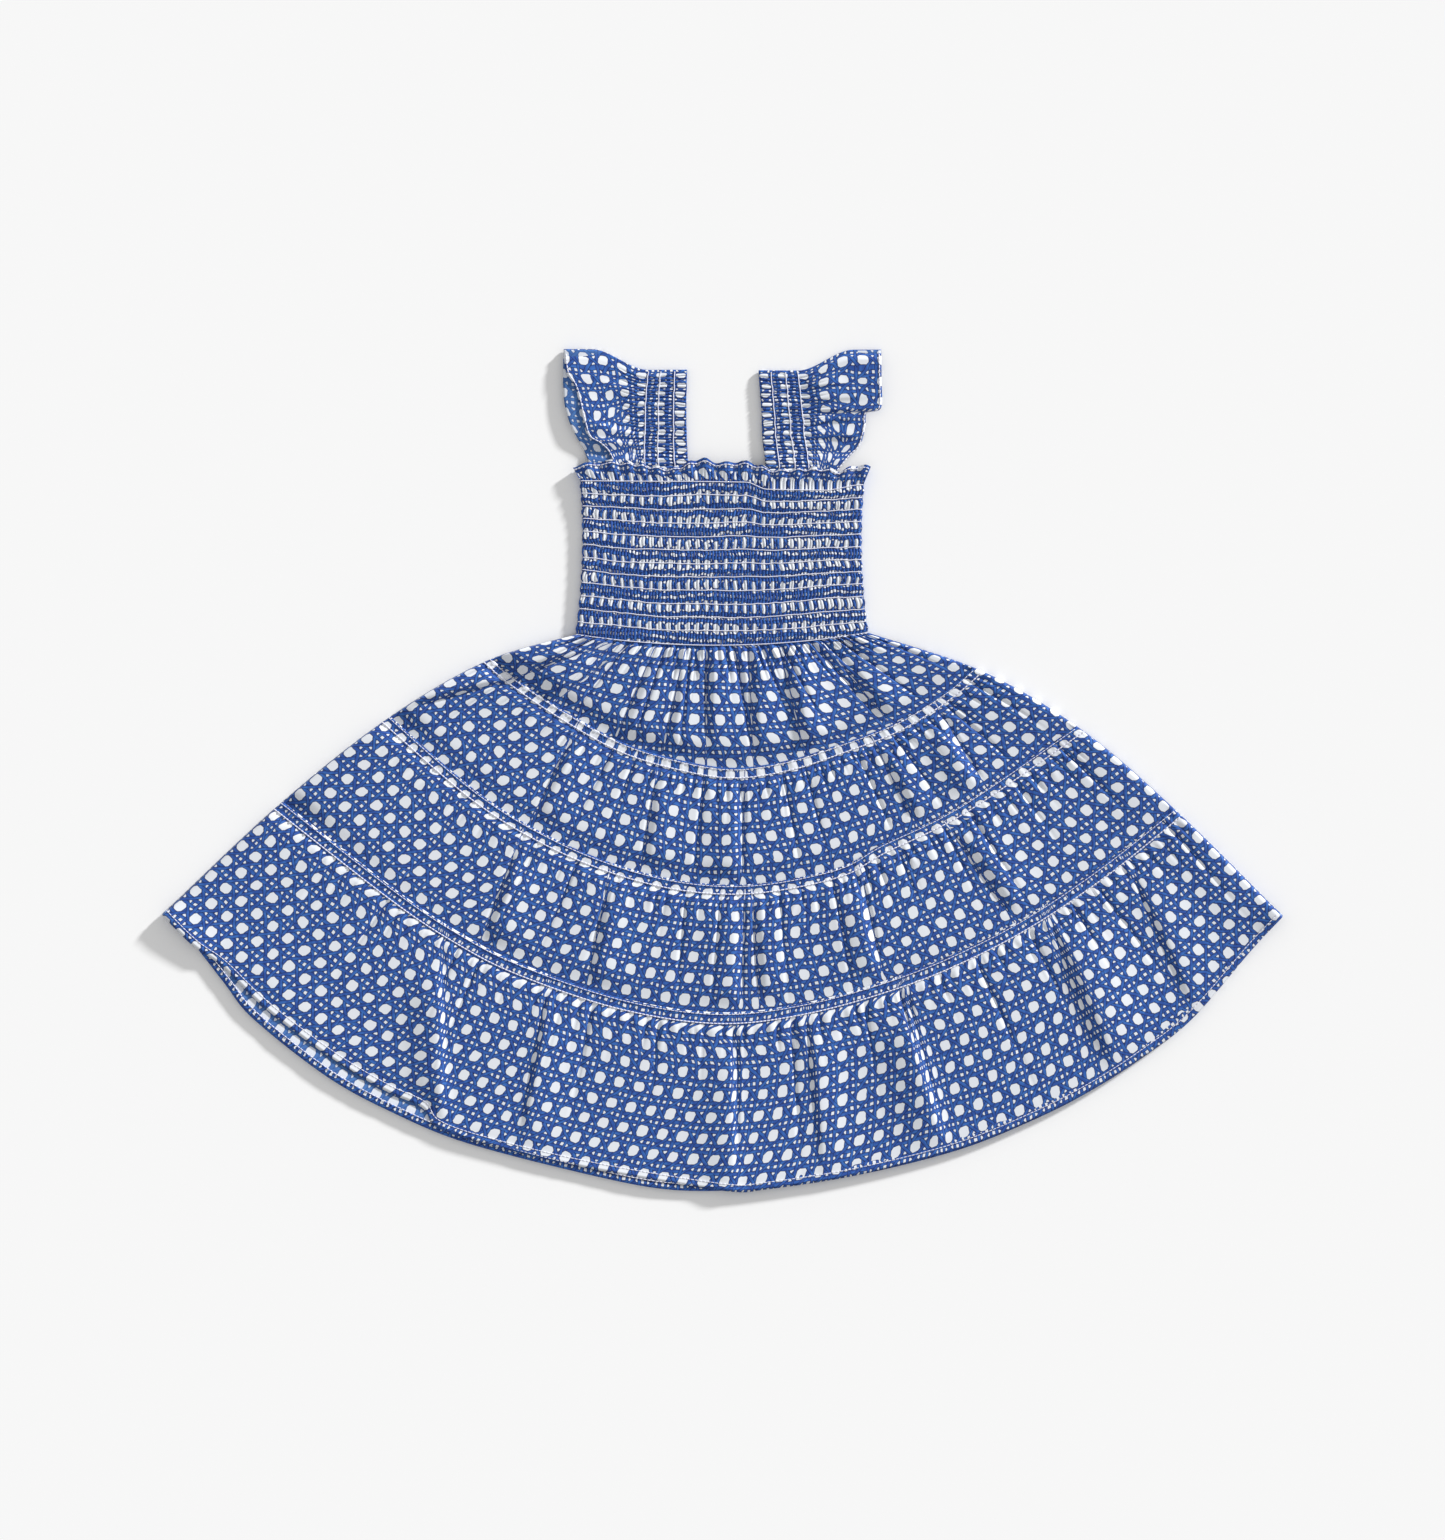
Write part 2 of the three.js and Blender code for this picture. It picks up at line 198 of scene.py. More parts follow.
def through_points(points: np.ndarray, shares: np.ndarray) -> np.ndarray:
    """A smooth curve through points, at shares of its run from the first point to the last.

    Args:
        points: the points, the first axis along the curve.
        shares: places from 0 to 1, the points being evenly spaced.

    Returns:
        The curve's points, with the points' further axes kept.
    """
    last = len(points) - 1
    place = np.clip(shares, 0, 1) * last
    i = np.minimum(place.astype(int), last - 1)
    w = (place - i).reshape((-1,) + (1,) * (points.ndim - 1))
    p0, p1, p2, p3 = (points[np.clip(i + k, 0, last)] for k in (-1, 0, 1, 2))
    v0, v1 = (p2 - p0) / 2, (p3 - p1) / 2
    return (2 * p1 - 2 * p2 + v0 + v1) * w ** 3 + (3 * p2 - 3 * p1 - 2 * v0 - v1) * w ** 2 + v0 * w + p1


def run_length(line: np.ndarray) -> np.ndarray:
    """How far along a line, or along each column of a grid, its points lie, from 0 at the first one."""
    steps = np.linalg.norm(np.diff(line, axis=0), axis=-1)
    return np.concatenate([np.zeros_like(steps[:1]), np.cumsum(steps, axis=0)])


@dataclass(frozen=True)
class LaidCurve:
    """A seam or edge of the laid-out dress, as a smooth curve through given points.

    Args:
        points: X and Y of each point, in millimetres.
    """

    points: tuple[tuple[float, float], ...]

    def at(self, shares: np.ndarray) -> np.ndarray:
        """Points at shares of the curve's length.

        Args:
            shares: from 0 at the first point to 1 at the last.

        Returns:
            An array of X and Y.
        """
        steps = np.linspace(0, 1, 801)
        line = through_points(np.array(self.points, float), steps)
        length = run_length(line)
        found = np.interp(np.clip(shares, 0, 1) * length[-1], length, steps)
        return through_points(np.array(self.points, float), found)


@dataclass
class ClothMesh:
    """Gathers grids of cloth into one mesh, with the flat cloth's own coordinates as its UV map.

    Args:
        name: the piece's name.
        points: the points of each grid so far.
        faces: the corners of each grid's faces.
        cloth: the place on the flat cloth of each corner.
        count: how many points there are.
    """

    name: str
    points: list[np.ndarray] = field(default_factory=list)
    faces: list[np.ndarray] = field(default_factory=list)
    cloth: list[np.ndarray] = field(default_factory=list)
    count: int = 0

    def add_grid(self, points: np.ndarray, cloth: np.ndarray, ring: bool = False) -> None:
        """Adds a grid of cloth that shows its right side.

        Args:
            points: rows and columns of X, Y and Z in millimetres.
            cloth: rows and columns of the place on the flat cloth in millimetres. A ring has one more
                column here, for the end of the cut.
            ring: whether the last column joins the first one.
        """
        rows, columns = points.shape[:2]
        index = self.count + np.arange(rows * columns).reshape(rows, columns)
        if ring:
            index = np.concatenate([index, index[:, :1]], axis=1)
        corners = ((slice(1, None), slice(None, -1)), (slice(1, None), slice(1, None)),
                   (slice(None, -1), slice(1, None)), (slice(None, -1), slice(None, -1)))
        self.faces.append(np.stack([index[c] for c in corners], axis=-1).reshape(-1, 4))
        self.cloth.append(np.stack([cloth[c] for c in corners], axis=2).reshape(-1, 2))
        self.points.append(points.reshape(-1, 3))
        self.count += rows * columns

    def build(self, materials: list[bpy.types.Material], thickness: float = 0.0) -> bpy.types.Object:
        """Makes the object.

        Args:
            materials: the right side's material, then the wrong side's.
            thickness: the cloth's thickness in millimetres, or 0 for a single surface.

        Returns:
            The new object, linked into the scene.
        """
        piece = new_piece(self.name, self.points, np.concatenate(self.faces).tolist(), materials)
        layer = piece.data.uv_layers.new(name="cloth")
        layer.data.foreach_set("uv", (np.concatenate(self.cloth) * MM).astype(np.float32).ravel())
        if thickness > 0:
            shell = piece.modifiers.new("thickness", "SOLIDIFY")
            shell.thickness = thickness * MM
            shell.offset = -1
            shell.material_offset = ClothSlot.WRONG.value
        return piece


@dataclass
class ThreadMesh:
    """Gathers stitches and runs of thread into one mesh.

    Args:
        name: the piece's name.
        sides: sides of a thread's section.
        points: the points of each tube so far.
        faces: the corners of each face.
        count: how many points there are.
    """

    name: str
    sides: int = 5
    points: list[np.ndarray] = field(default_factory=list)
    faces: list[tuple[int, ...]] = field(default_factory=list)
    count: int = 0

    def add_tube(self, line: np.ndarray, radii: np.ndarray) -> None:
        """Adds a closed tube along a line.

        Args:
            line: points of X, Y and Z in millimetres.
            radii: the radius at each point.
        """
        along = np.gradient(line, axis=0)
        along /= np.maximum(np.linalg.norm(along, axis=1, keepdims=True), 1e-9)
        across = np.cross(along, [0.0, 0.0, 1.0])
        across /= np.maximum(np.linalg.norm(across, axis=1, keepdims=True), 1e-9)
        up = np.cross(across, along)
        turn = 2 * np.pi * np.arange(self.sides) / self.sides
        ring = np.cos(turn)[None, :, None] * across[:, None] + np.sin(turn)[None, :, None] * up[:, None]
        self.points.append((line[:, None] + ring * radii[:, None, None]).reshape(-1, 3))
        for r in range(len(line) - 1):
            base = self.count + r * self.sides
            for s in range(self.sides):
                n = (s + 1) % self.sides
                self.faces.append((base + s, base + self.sides + s, base + self.sides + n, base + n))
        self.faces.append(tuple(self.count + s for s in range(self.sides)))
        last = self.count + (len(line) - 1) * self.sides
        self.faces.append(tuple(last + s for s in reversed(range(self.sides))))
        self.count += len(line) * self.sides

    def add_stitches(self, line: np.ndarray, stitch: float, gap: float, radius: float) -> None:
        """Adds a row of machine stitches along a line.

        Args:
            line: points of X, Y and Z in millimetres.
            stitch: length of a stitch.
            gap: space between two stitches.
            radius: the thread's radius.
        """
        length = run_length(line)
        start = 0.0
        shares = np.array([0.0, 0.25, 0.75, 1.0])
        while start + stitch < length[-1]:
            places = start + shares * stitch
            tube = np.stack([np.interp(places, length, line[:, i]) for i in range(3)], axis=1)
            self.add_tube(tube, radius * np.array([0.45, 1.0, 1.0, 0.45]))
            start += stitch + gap

    def build(self, material: bpy.types.Material) -> bpy.types.Object:
        """Makes the object.

        Args:
            material: the thread's material.

        Returns:
            The new object, linked into the scene.
        """
        return new_piece(self.name, self.points, self.faces, [material])


@dataclass(frozen=True)
class CaneCotton:
    """Cotton poplin, screen printed with a lattice of split cane.

    The print is opaque ink on white cloth, so the eye sees flat, slightly uneven blues with dark outlines
    and a matt surface. The wrong side shows the same lattice washed out through the weave.

    Args:
        name: the material's name.
        ground: the unprinted cloth.
        cane: the strands.
        cane_light: the lighter stretches of a strand.
        outline: the line along each strand's edges.
        repeat_mm: distance between two holes of the lattice, across and down.
        upright: half width of an upright strand, in repeats, as the next seven are.
        level: half width of a level strand.
        slanting: half width of a diagonal strand.
        line_width: width of the outline.
        softness: half the width of the outline's soft edge.
        pair_across: distance of the upright strands from a hole's middle.
        pair_down: distance of the level strands from it.
        unevenness: how far a crossing lies out of place.
        weave_mm: distance between two threads of the weave as drawn.
    """

    name: str
    ground: str
    cane: str
    cane_light: str
    outline: str
    repeat_mm: tuple[float, float] = (15.0, 16.2)
    upright: float = 0.093
    level: float = 0.095
    slanting: float = 0.086
    line_width: float = 0.026
    softness: float = 0.01
    pair_across: float = 0.336
    pair_down: float = 0.337
    unevenness: float = 0.07
    weave_mm: float = 0.9

    def strand_mask(self, tree: bpy.types.NodeTree, offset: bpy.types.NodeSocket,
                    half_width: float, softness: float) -> bpy.types.NodeSocket:
        """A mask that is 1 within half a strand's width of its middle line.

        Args:
            tree: the node tree.
            offset: signed distance from the middle line, in repeats.
            half_width: half the width, in repeats.
            softness: half the width of the soft edge, in repeats.

        Returns:
            The mask's socket.
        """
        distance = add_node(tree, "ShaderNodeMath", {0: offset}, operation="ABSOLUTE").outputs[0]
        return add_node(tree, "ShaderNodeMapRange", {
            "Value": distance, "From Min": half_width - softness,
            "From Max": half_width + softness, "To Min": 1.0, "To Max": 0.0,
        }, interpolation_type="SMOOTHSTEP").outputs["Result"]

    def lay_strand(self, tree: bpy.types.NodeTree, below: bpy.types.NodeSocket | tuple[float, ...],
                   offset: bpy.types.NodeSocket, half_width: float, lit: bpy.types.NodeSocket,
                   where: bpy.types.NodeSocket | None = None) -> bpy.types.NodeSocket:
        """Lays one family of strands over the colours below it.

        Args:
            tree: the node tree.
            below: the colour so far.
            offset: signed distance from the strands' middle lines, in repeats.
            half_width: half a strand's width, in repeats.
            lit: where the strands are lighter.
            where: a mask of the places where the family lies on top, or None for everywhere.

        Returns:
            The new colour's socket.
        """
        side = add_node(tree, "ShaderNodeMapRange", {
            "Value": offset, "From Min": -half_width, "From Max": half_width, "To Min": 0.1, "To Max": 1.2})
        share = add_node(tree, "ShaderNodeMath", {0: side.outputs["Result"], 1: lit}, operation="MULTIPLY")
        blue = add_node(tree, "ShaderNodeMix", {
            "Factor": share.outputs[0], 6: linear_colour(self.cane), 7: linear_colour(self.cane_light)},
            data_type="RGBA").outputs[2]
        colour = below
        for paint, width, softness in ((linear_colour(self.outline), half_width, self.softness),
                                       (blue, half_width - self.line_width, 2 * self.softness)):
            mask = self.strand_mask(tree, offset, width, softness)
            if where is not None:
                mask = add_node(tree, "ShaderNodeMath", {0: mask, 1: where}, operation="MULTIPLY").outputs[0]
            colour = add_node(tree, "ShaderNodeMix", {"Factor": mask, 6: colour, 7: paint},
                              data_type="RGBA").outputs[2]
        return colour

    def cell(self, tree: bpy.types.NodeTree, repeats: bpy.types.NodeSocket) -> list[bpy.types.NodeSocket]:
        """Where a place lies in its cell of the lattice, a hole's middle being 0.

        Args:
            tree: the node tree.
            repeats: the place, in repeats.

        Returns:
            The place across and down the cell, and along its two diagonals, from -0.5 to 0.5.
        """
        # the print is drawn by hand: each crossing is a little out of place
        wander = add_node(tree, "ShaderNodeTexNoise", {"Vector": repeats, "Scale": 1.7, "Detail": 1.0},
                          noise_dimensions="2D").outputs["Color"]
        centred = add_node(tree, "ShaderNodeVectorMath", {0: wander, 1: (0.5, 0.5, 0.5)},
                           operation="SUBTRACT").outputs[0]
        shift = add_node(tree, "ShaderNodeVectorMath", {0: centred, 3: self.unevenness * 2},
                         operation="SCALE").outputs[0]
        place = add_node(tree, "ShaderNodeVectorMath", {0: repeats, 1: shift}, operation="ADD").outputs[0]
        split = add_node(tree, "ShaderNodeSeparateXYZ", {0: place})
        across, down = split.outputs[0], split.outputs[1]
        diagonals = [add_node(tree, "ShaderNodeMath", {0: across, 1: down}, operation=operation).outputs[0]
                     for operation in ("SUBTRACT", "ADD")]
        middle = []
        for value in (across, down, *diagonals):
            part = add_node(tree, "ShaderNodeMath", {0: value}, operation="FRACT").outputs[0]
            centre = add_node(tree, "ShaderNodeMath", {0: part, 1: 0.5}, operation="SUBTRACT")
            middle.append(centre.outputs[0])
        return middle

    def build(self) -> bpy.types.Material:
        """Makes the material.

        Returns:
            The material.
        """
        material, tree, shader = new_material(self.name)
        uv = add_node(tree, "ShaderNodeUVMap", uv_map="cloth").outputs["UV"]
        across, down = self.repeat_mm
        repeats = add_node(tree, "ShaderNodeVectorMath", {
            0: uv, 1: (1 / (across * MM), 1 / (down * MM), 0.0)}, operation="MULTIPLY").outputs[0]
        cell_x, cell_y, cell_falling, cell_rising = self.cell(tree, repeats)
        left, right = (add_node(tree, "ShaderNodeMath", {0: cell_x, 1: side * self.pair_across},
                                operation="ADD").outputs[0] for side in (1, -1))
        upper, lower = (add_node(tree, "ShaderNodeMath", {0: cell_y, 1: side * self.pair_down},
                                 operation="ADD").outputs[0] for side in (1, -1))
        falling, rising = (add_node(tree, "ShaderNodeMath", {0: value, 1: math.sqrt(0.5)},
                                    operation="MULTIPLY").outputs[0]
                           for value in (cell_falling, cell_rising))
        far = [add_node(tree, "ShaderNodeMath", {0: value}, operation="ABSOLUTE").outputs[0]
               for value in (cell_x, cell_y)]
        beside = add_node(tree, "ShaderNodeMath", {0: far[0], 1: far[1]},
                          operation="GREATER_THAN").outputs[0]

        streaks = add_node(tree, "ShaderNodeTexNoise", {"Vector": repeats, "Scale": 3.1, "Detail": 2.0},
                           noise_dimensions="2D").outputs["Fac"]
        lit = add_node(tree, "ShaderNodeMapRange", {"Value": streaks, "From Min": 0.4, "From Max": 0.65,
                                                    "To Min": 0.15}, interpolation_type="SMOOTHSTEP")
        colour = linear_colour(self.ground)
        for offset, half_width, where in (
                (right, self.upright, None), (falling, self.slanting, None), (upper, self.level, None),
                (lower, self.level, None), (rising, self.slanting, None), (left, self.upright, None),
                (falling, self.slanting, beside)):
            colour = self.lay_strand(tree, colour, offset, half_width, lit.outputs["Result"], where)
        tree.links.new(colour, shader.inputs["Base Color"])

        # poplin's plain weave, about 0.25 mm, drawn at weave_mm so that it can show
        threads = add_node(tree, "ShaderNodeTexNoise", {
            "Vector": uv, "Scale": 1 / (self.weave_mm * MM), "Detail": 2.0},
            noise_dimensions="2D").outputs["Fac"]
        grain = add_node(tree, "ShaderNodeBump", {"Strength": 0.12, "Distance": 0.0002, "Height": threads})
        tree.links.new(grain.outputs["Normal"], shader.inputs["Normal"])
        for socket, value in (("Roughness", 0.82), ("Specular IOR Level", 0.3), ("Sheen Weight", 0.12),
                              ("Sheen Roughness", 0.5)):
            shader.inputs[socket].default_value = value
        return material


@dataclass(frozen=True)
class SewingThread:
    """Spun polyester sewing thread, twisted and bright white, which catches a soft light along its top.

    Args:
        name: the material's name.
        colour: the crests of the twist.
        shade: painted shade in the grooves between them, which are the same white as the crests.
        twist_mm: distance between two grooves.
    """

    name: str = "spun_polyester_thread"
    colour: str = "#eeeef6"
    shade: str = "#c9cbe0"
    twist_mm: float = 1.1

    def build(self) -> bpy.types.Material:
        """Makes the material.

        Returns:
            The material.
        """
        material, tree, shader = new_material(self.name)
        place = add_node(tree, "ShaderNodeTexCoord").outputs["Object"]
        # painted shade: the twist's grooves are darkened in the base colour itself, placed by noise
        groove_shade_mask = add_node(tree, "ShaderNodeTexNoise", {"Vector": place, "Scale": 1 / (self.twist_mm * MM)})
        colour = add_node(tree, "ShaderNodeMix", {
            "Factor": groove_shade_mask.outputs["Fac"], 6: linear_colour(self.shade), 7: linear_colour(self.colour)},
            data_type="RGBA").outputs[2]
        tree.links.new(colour, shader.inputs["Base Color"])
        shader.inputs["Roughness"].default_value = 0.6
        return material


@dataclass(frozen=True)
class Fold:
    """A large fold of the cloth: a ridge with one steep side, in which cloth is hidden.

    Args:
        tier: the tier that it lies on, from 1, or 0 on a strap.
        start: X and Y of the upper end of the crest, in millimetres.
        end: X and Y of its lower end.
        height: height of the crest.
        width: half width of the ridge before one side is made steep and the other gentle.
        steep: which side is steep, -1 for the left and 1 for the right.
        hides: how much cloth it hides, against the other folds.
    """

    tier: int
    start: tuple[float, float]
    end: tuple[float, float]
    height: float
    width: float
    steep: int = -1
    hides: float = 1.0

    @property
    def foot(self) -> float:
        """Where the cloth turns under on the steep side, in half widths from the crest."""
        return 0.4 if self.tier == 4 else 0.7

    def along_and_right(self, places: np.ndarray) -> tuple[np.ndarray, np.ndarray]:
        """Where places lie beside the crest.

        Args:
            places: X and Y on the last axis.

        Returns:
            The share along the crest, and the distance to its right as it is looked down.
        """
        start = np.array(self.start)
        crest = np.array(self.end) - start
        length = float(np.hypot(*crest))
        away = places - start
        return (away @ crest) / length ** 2, (away[..., 1] * crest[0] - away[..., 0] * crest[1]) / length

    def heights(self, places: np.ndarray) -> np.ndarray:
        """The ridge's height at places of the plane.

        Args:
            places: X and Y on the last axis.

        Returns:
            Heights in millimetres.
        """
        along, right = self.along_and_right(places)
        width = np.where(right * self.steep > 0, self.width * 0.45, self.width * 1.5)
        # a fold of the last tier runs on to the hem, and the others die out above the next seam
        fall = 0.35 if self.tier == 4 else 1.0
        rise = smooth_step(along, -0.1, 0.35) * (1 - fall * smooth_step(along, 0.75, 1.2))
        return self.height * rise * bump(right, width)

    def hidden(self, places: np.ndarray) -> np.ndarray:
        """How much of the fold's hidden cloth lies to the left of each place, from 0 to 1."""
        along, right = self.along_and_right(places)
        share = (right - self.foot * self.width * self.steep) / self.width
        reach = 0.35 + 0.5 * np.clip(along, 0, 1) if self.tier == 4 else 0.6 / self.width
        return (smooth_step(share, -reach, reach) + np.clip(share / (1.7 * reach) + 0.5, 0, 1)) / 2

    def crease(self, places: np.ndarray) -> np.ndarray:
        """The narrow crease in which the cloth turns under, at the foot of the steep side."""
        along, right = self.along_and_right(places)
        rise = smooth_step(along, -0.1, 0.1) * (1 - smooth_step(along, 0.6, 1.1))
        return rise * bump(right - self.foot * self.width * self.steep, 1.3)


@dataclass
class Bodice:
    """The shirred bodice with its neck frill, one cut of cloth drawn up on rows of elastic thread.

    Args:
        rows: rows of elastic thread, the top one being row 0.
        left: Y of row 0 at the left side, and the space between two rows there.
        middle: the same in the middle.
        right: the same at the right side.
        nip_row: the row on which the bodice is narrowest.
        nip_left: X of the left side there.
        nip_right: X of the right side there.
        flare_left: how fast the left side moves out above and below it.
        flare_right: how fast the right side does.
        scallop: how far the sides bulge between two rows.
        cut_width: flat width of the front's cut. The back's is the same.
        frill_cloth: flat depth of the frill.
        shirred_cloth: flat depth of the cloth from row 0 to the waist. Not used.
        first_print_row: how far the print is moved up the cloth.
        print_drift: how far its rows stray up and down.
        print_slope: how much lower they lie at the right than at the left.
        puckers: fine upright puckers across the front.
        pucker_height: half their height.
        pucker_share: how much of the cloth's excess lies in their valleys.
        back_puckers: the back's puckers, with fewer columns of the mesh to each.
        back_pucker: half their height.
        row_bulge: how far the cloth stands up between two rows.
        row_stray: how far a row strays from its smooth line.
        slack_dip: how far the loose rows at the right of the neck hang down.
        top_rise: how much higher the front lies at the top row.
        front_low: middle height of the front.
        back_low: middle height of the back.
        frill_low: middle height of the frill's edge.
        flutes: flutes of the frill's front.
        flute_height: half their height.
        flute_sway: how far the frill's edge moves up and down with them.
        side_drop: how far the front comes down at the sides.
        side_reach: over what distance it does.
        back_frill: depth of the back's frill, against the front's.
        frill_edge: the frill's edge.
    """

    rows: int = 13
    left: tuple[float, float] = (216.4, 9.57)
    middle: tuple[float, float] = (215.6, 10.18)
    right: tuple[float, float] = (213.6, 9.22)
    nip_row: float = 4.5
    nip_left: float = -104.6
    nip_right: float = 103.8
    flare_left: float = -0.092
    flare_right: float = 0.09
    scallop: float = 0.9
    cut_width: float = 452.0
    frill_cloth: float = 17.0
    shirred_cloth: float = 122.0
    first_print_row: float = -3.0
    print_drift: float = 3.0
    print_slope: float = 5.0
    puckers: int = 88
    pucker_height: float = 0.62
    pucker_share: float = 0.72
    back_puckers: int = 98
    back_pucker: float = 1.6
    row_bulge: float = 0.7
    row_stray: float = 1.3
    slack_dip: float = 5.0
    top_rise: float = 1.4
    front_low: float = 4.3
    back_low: float = 1.65
    frill_low: float = 6.8
    flutes: int = 17
    flute_height: float = 1.3
    flute_sway: float = 0.8
    side_drop: float = 2.0
    side_reach: float = 4.0
    back_frill: float = 0.86
    frill_edge: LaidCurve = LaidCurve((
        (-112, 227), (-92, 231), (-73, 231), (-54, 228), (-38, 226), (-24, 231), (-14, 233), (-2, 230),
        (17, 231), (28, 228), (39, 225), (58, 226), (77, 226), (88, 224), (100, 228), (111, 227)))

    def laid(self, across: np.ndarray, row: np.ndarray) -> np.ndarray:
        """Places on the laid-out bodice.

        Args:
            across: shares from the left side to the right one.
            row: shirring rows, 0 for the top one.

        Returns:
            X and Y for each row and share.
        """
        a, r = across[None, :], row[:, None]
        out = self.scallop * np.sin(np.pi * r) ** 2
        x_left = self.nip_left + self.flare_left * (r - self.nip_row) ** 2 - out
        x_right = self.nip_right + self.flare_right * (r - self.nip_row) ** 2 + out
        y_left, y_middle, y_right = (y - pitch * r for y, pitch in (self.left, self.middle, self.right))
        sag = (y_left + y_right) / 2 - y_middle
        x = x_left + (x_right - x_left) * a
        y = y_left + (y_right - y_left) * a - 4 * sag * a * (1 - a)
        return np.stack([x, y], axis=-1)

    def waver(self, across: np.ndarray, row: np.ndarray) -> np.ndarray:
        """How far a row strays from its smooth line, as elastic sewn by a hand-guided machine does.

        Args:
            across: shares from the left side to the right one.
            row: shirring rows, 0 for the top one.

        Returns:
            The distance up, by row and share.
        """
        inside = smooth_step(row, -0.2, 0.8)[:, None] * smooth_step(12 - row, 0.0, 1.0)[:, None]
        a, r = across[None, :], row[:, None]
        slack = smooth_step(a, 0.585, 0.66) * (1 - smooth_step(a, 0.86, 1.0)) * np.exp(-r / 2.6)
        stray = self.row_stray * noise_field(a * 7 + 3, r * 0.35, 11) + 0.3 * noise_field(a * 48, r * 2, 17)
        return inside * stray - self.slack_dip * slack

    def puckers_passed(self, across: np.ndarray, row: np.ndarray) -> np.ndarray:
        """How many of the fine upright puckers lie to the left of each place."""
        a, r = across[None, :], row[:, None]
        stray = 0.55 * noise_field(a * 26, r * 0.55 + 7, 12) + 0.3 * noise_field(a * 9, r * 1.4, 13)
        return a * self.puckers + stray

    def pucker_wave(self, across: np.ndarray, row: np.ndarray) -> np.ndarray:
        """The puckers' broad crests and narrow valleys, from -1 to 1."""
        return 1 - 2 * np.abs(np.sin(np.pi * self.puckers_passed(across, row))) ** 7

    def front(self) -> tuple[np.ndarray, np.ndarray, np.ndarray]:
        """The front's grid, from the frill's edge down to the waist.

        Returns:
            The points, the across shares and the row numbers, negative in the frill.
        """
        across = np.linspace(0, 1, self.puckers * 6 + 1)
        rows = np.linspace(0, self.rows - 1, (self.rows - 1) * 6 + 1)
        places = self.laid(across, rows)
        places[..., 1] += self.waver(across, rows)
        band = np.abs(np.sin(np.pi * rows))[:, None] ** 0.7
        wave = self.pucker_wave(across, rows)
        height = self.front_low + band * self.row_bulge
        height = height + wave * self.pucker_height * (0.75 + 0.25 * band)
        height += self.top_rise * (1 - smooth_step(rows, 0.0, 3.0))[:, None]
        shirred = np.concatenate([places, (height + self.side_roll(across))[..., None]], axis=-1)

        ups = np.linspace(1, 0, 15)[:-1]
        base = self.laid(across, np.zeros(1))[0]
        edge = self.frill_edge.at(across)
        places = base[None] + (edge - base)[None] * ups[:, None, None]
        flutes = np.cos(2 * np.pi * self.flutes_passed(across))
        open_share = smooth_step(ups, 0.05, 0.8)[:, None]
        wave = self.pucker_wave(across, np.zeros(1)) * (1 - open_share) * self.pucker_height
        wave = wave + flutes[None] * open_share * self.flute_height
        low = self.front_low + self.top_rise
        lift = low + (self.frill_low - low) * smooth_step(ups, 0.0, 0.6)[:, None]
        places[..., 1] += self.flute_sway * flutes * ups[:, None]
        frill = np.concatenate([places, (lift + wave)[..., None]], axis=-1)
        return np.concatenate([frill, shirred]), across, np.concatenate([-ups, rows])

    def flutes_passed(self, across: np.ndarray) -> np.ndarray:
        """How many of the frill's flutes lie to the left of each place."""
        return across * self.flutes + 0.6 * noise_line(across * 7, 14)

    def side_roll(self, across: np.ndarray) -> np.ndarray:
        """How the front comes down to the back at the sides, as a tube laid flat does."""
        edge = np.minimum(across, 1 - across) * (self.nip_right - self.nip_left)
        turned = 1 - np.clip(edge / self.side_reach, 0, 1)
        return -self.side_drop * (1 - np.sqrt(1 - turned ** 2))[None, :]

    def back(self, rows: np.ndarray) -> np.ndarray:
        """The back's grid, from the right side to the left one.

        Args:
            rows: the front's row numbers, which the back shares.

        Returns:
            The points.
        """
        across = np.linspace(1, 0, self.back_puckers * 4 + 1)[1:-1]
        shirred = np.maximum(rows, 0)
        places = self.laid(across, shirred)
        base = places[:1].copy()
        # the back's frill is a little lower, so the front's hides it
        edge = base[0] + (self.frill_edge.at(across) - base[0]) * self.back_frill
        up = np.maximum(-rows, 0)[:, None, None]
        places = np.where(up > 0, base + (edge[None] - base) * up, places)
        passed = self.puckers_passed(1 - across, shirred) * self.back_puckers / self.puckers
        wave = np.cos(2 * np.pi * passed) * (1 - 0.6 * smooth_step(-rows, 0, 0.3)[:, None])
        height = self.back_low + self.back_pucker * wave
        return np.concatenate([places, height[..., None]], axis=-1)

    def build(self, cotton: list[bpy.types.Material]) -> bpy.types.Object:
        """Makes the bodice and frill as one gathered tube.

        Args:
            cotton: the cloth's materials.

        Returns:
            The piece.
        """
        front, across, rows = self.front()
        back = self.back(rows)
        mesh = ClothMesh("bodice_and_frill")
        ring = np.concatenate([front, back], axis=1)
        down = np.where(rows < 0, rows * self.frill_cloth, rows * self.middle[1])
        tilt = self.print_drift * noise_field(across[None, :] * 4.3, rows[:, None] * 0.25, 15)
        tilt -= self.print_slope * across[None, :]
        tilt += 0.9 * noise_field(across[None, :] * 44, rows[:, None] * 0.4, 16)
        passed = self.flutes_passed(across)
        share = np.floor(passed) + smooth_step(passed % 1, 0.4, 0.6)
        share = (share - share[0]) / (share[-1] - share[0])
        loose = 0.9 * smooth_step(-rows, 0.05, 0.4)[:, None]
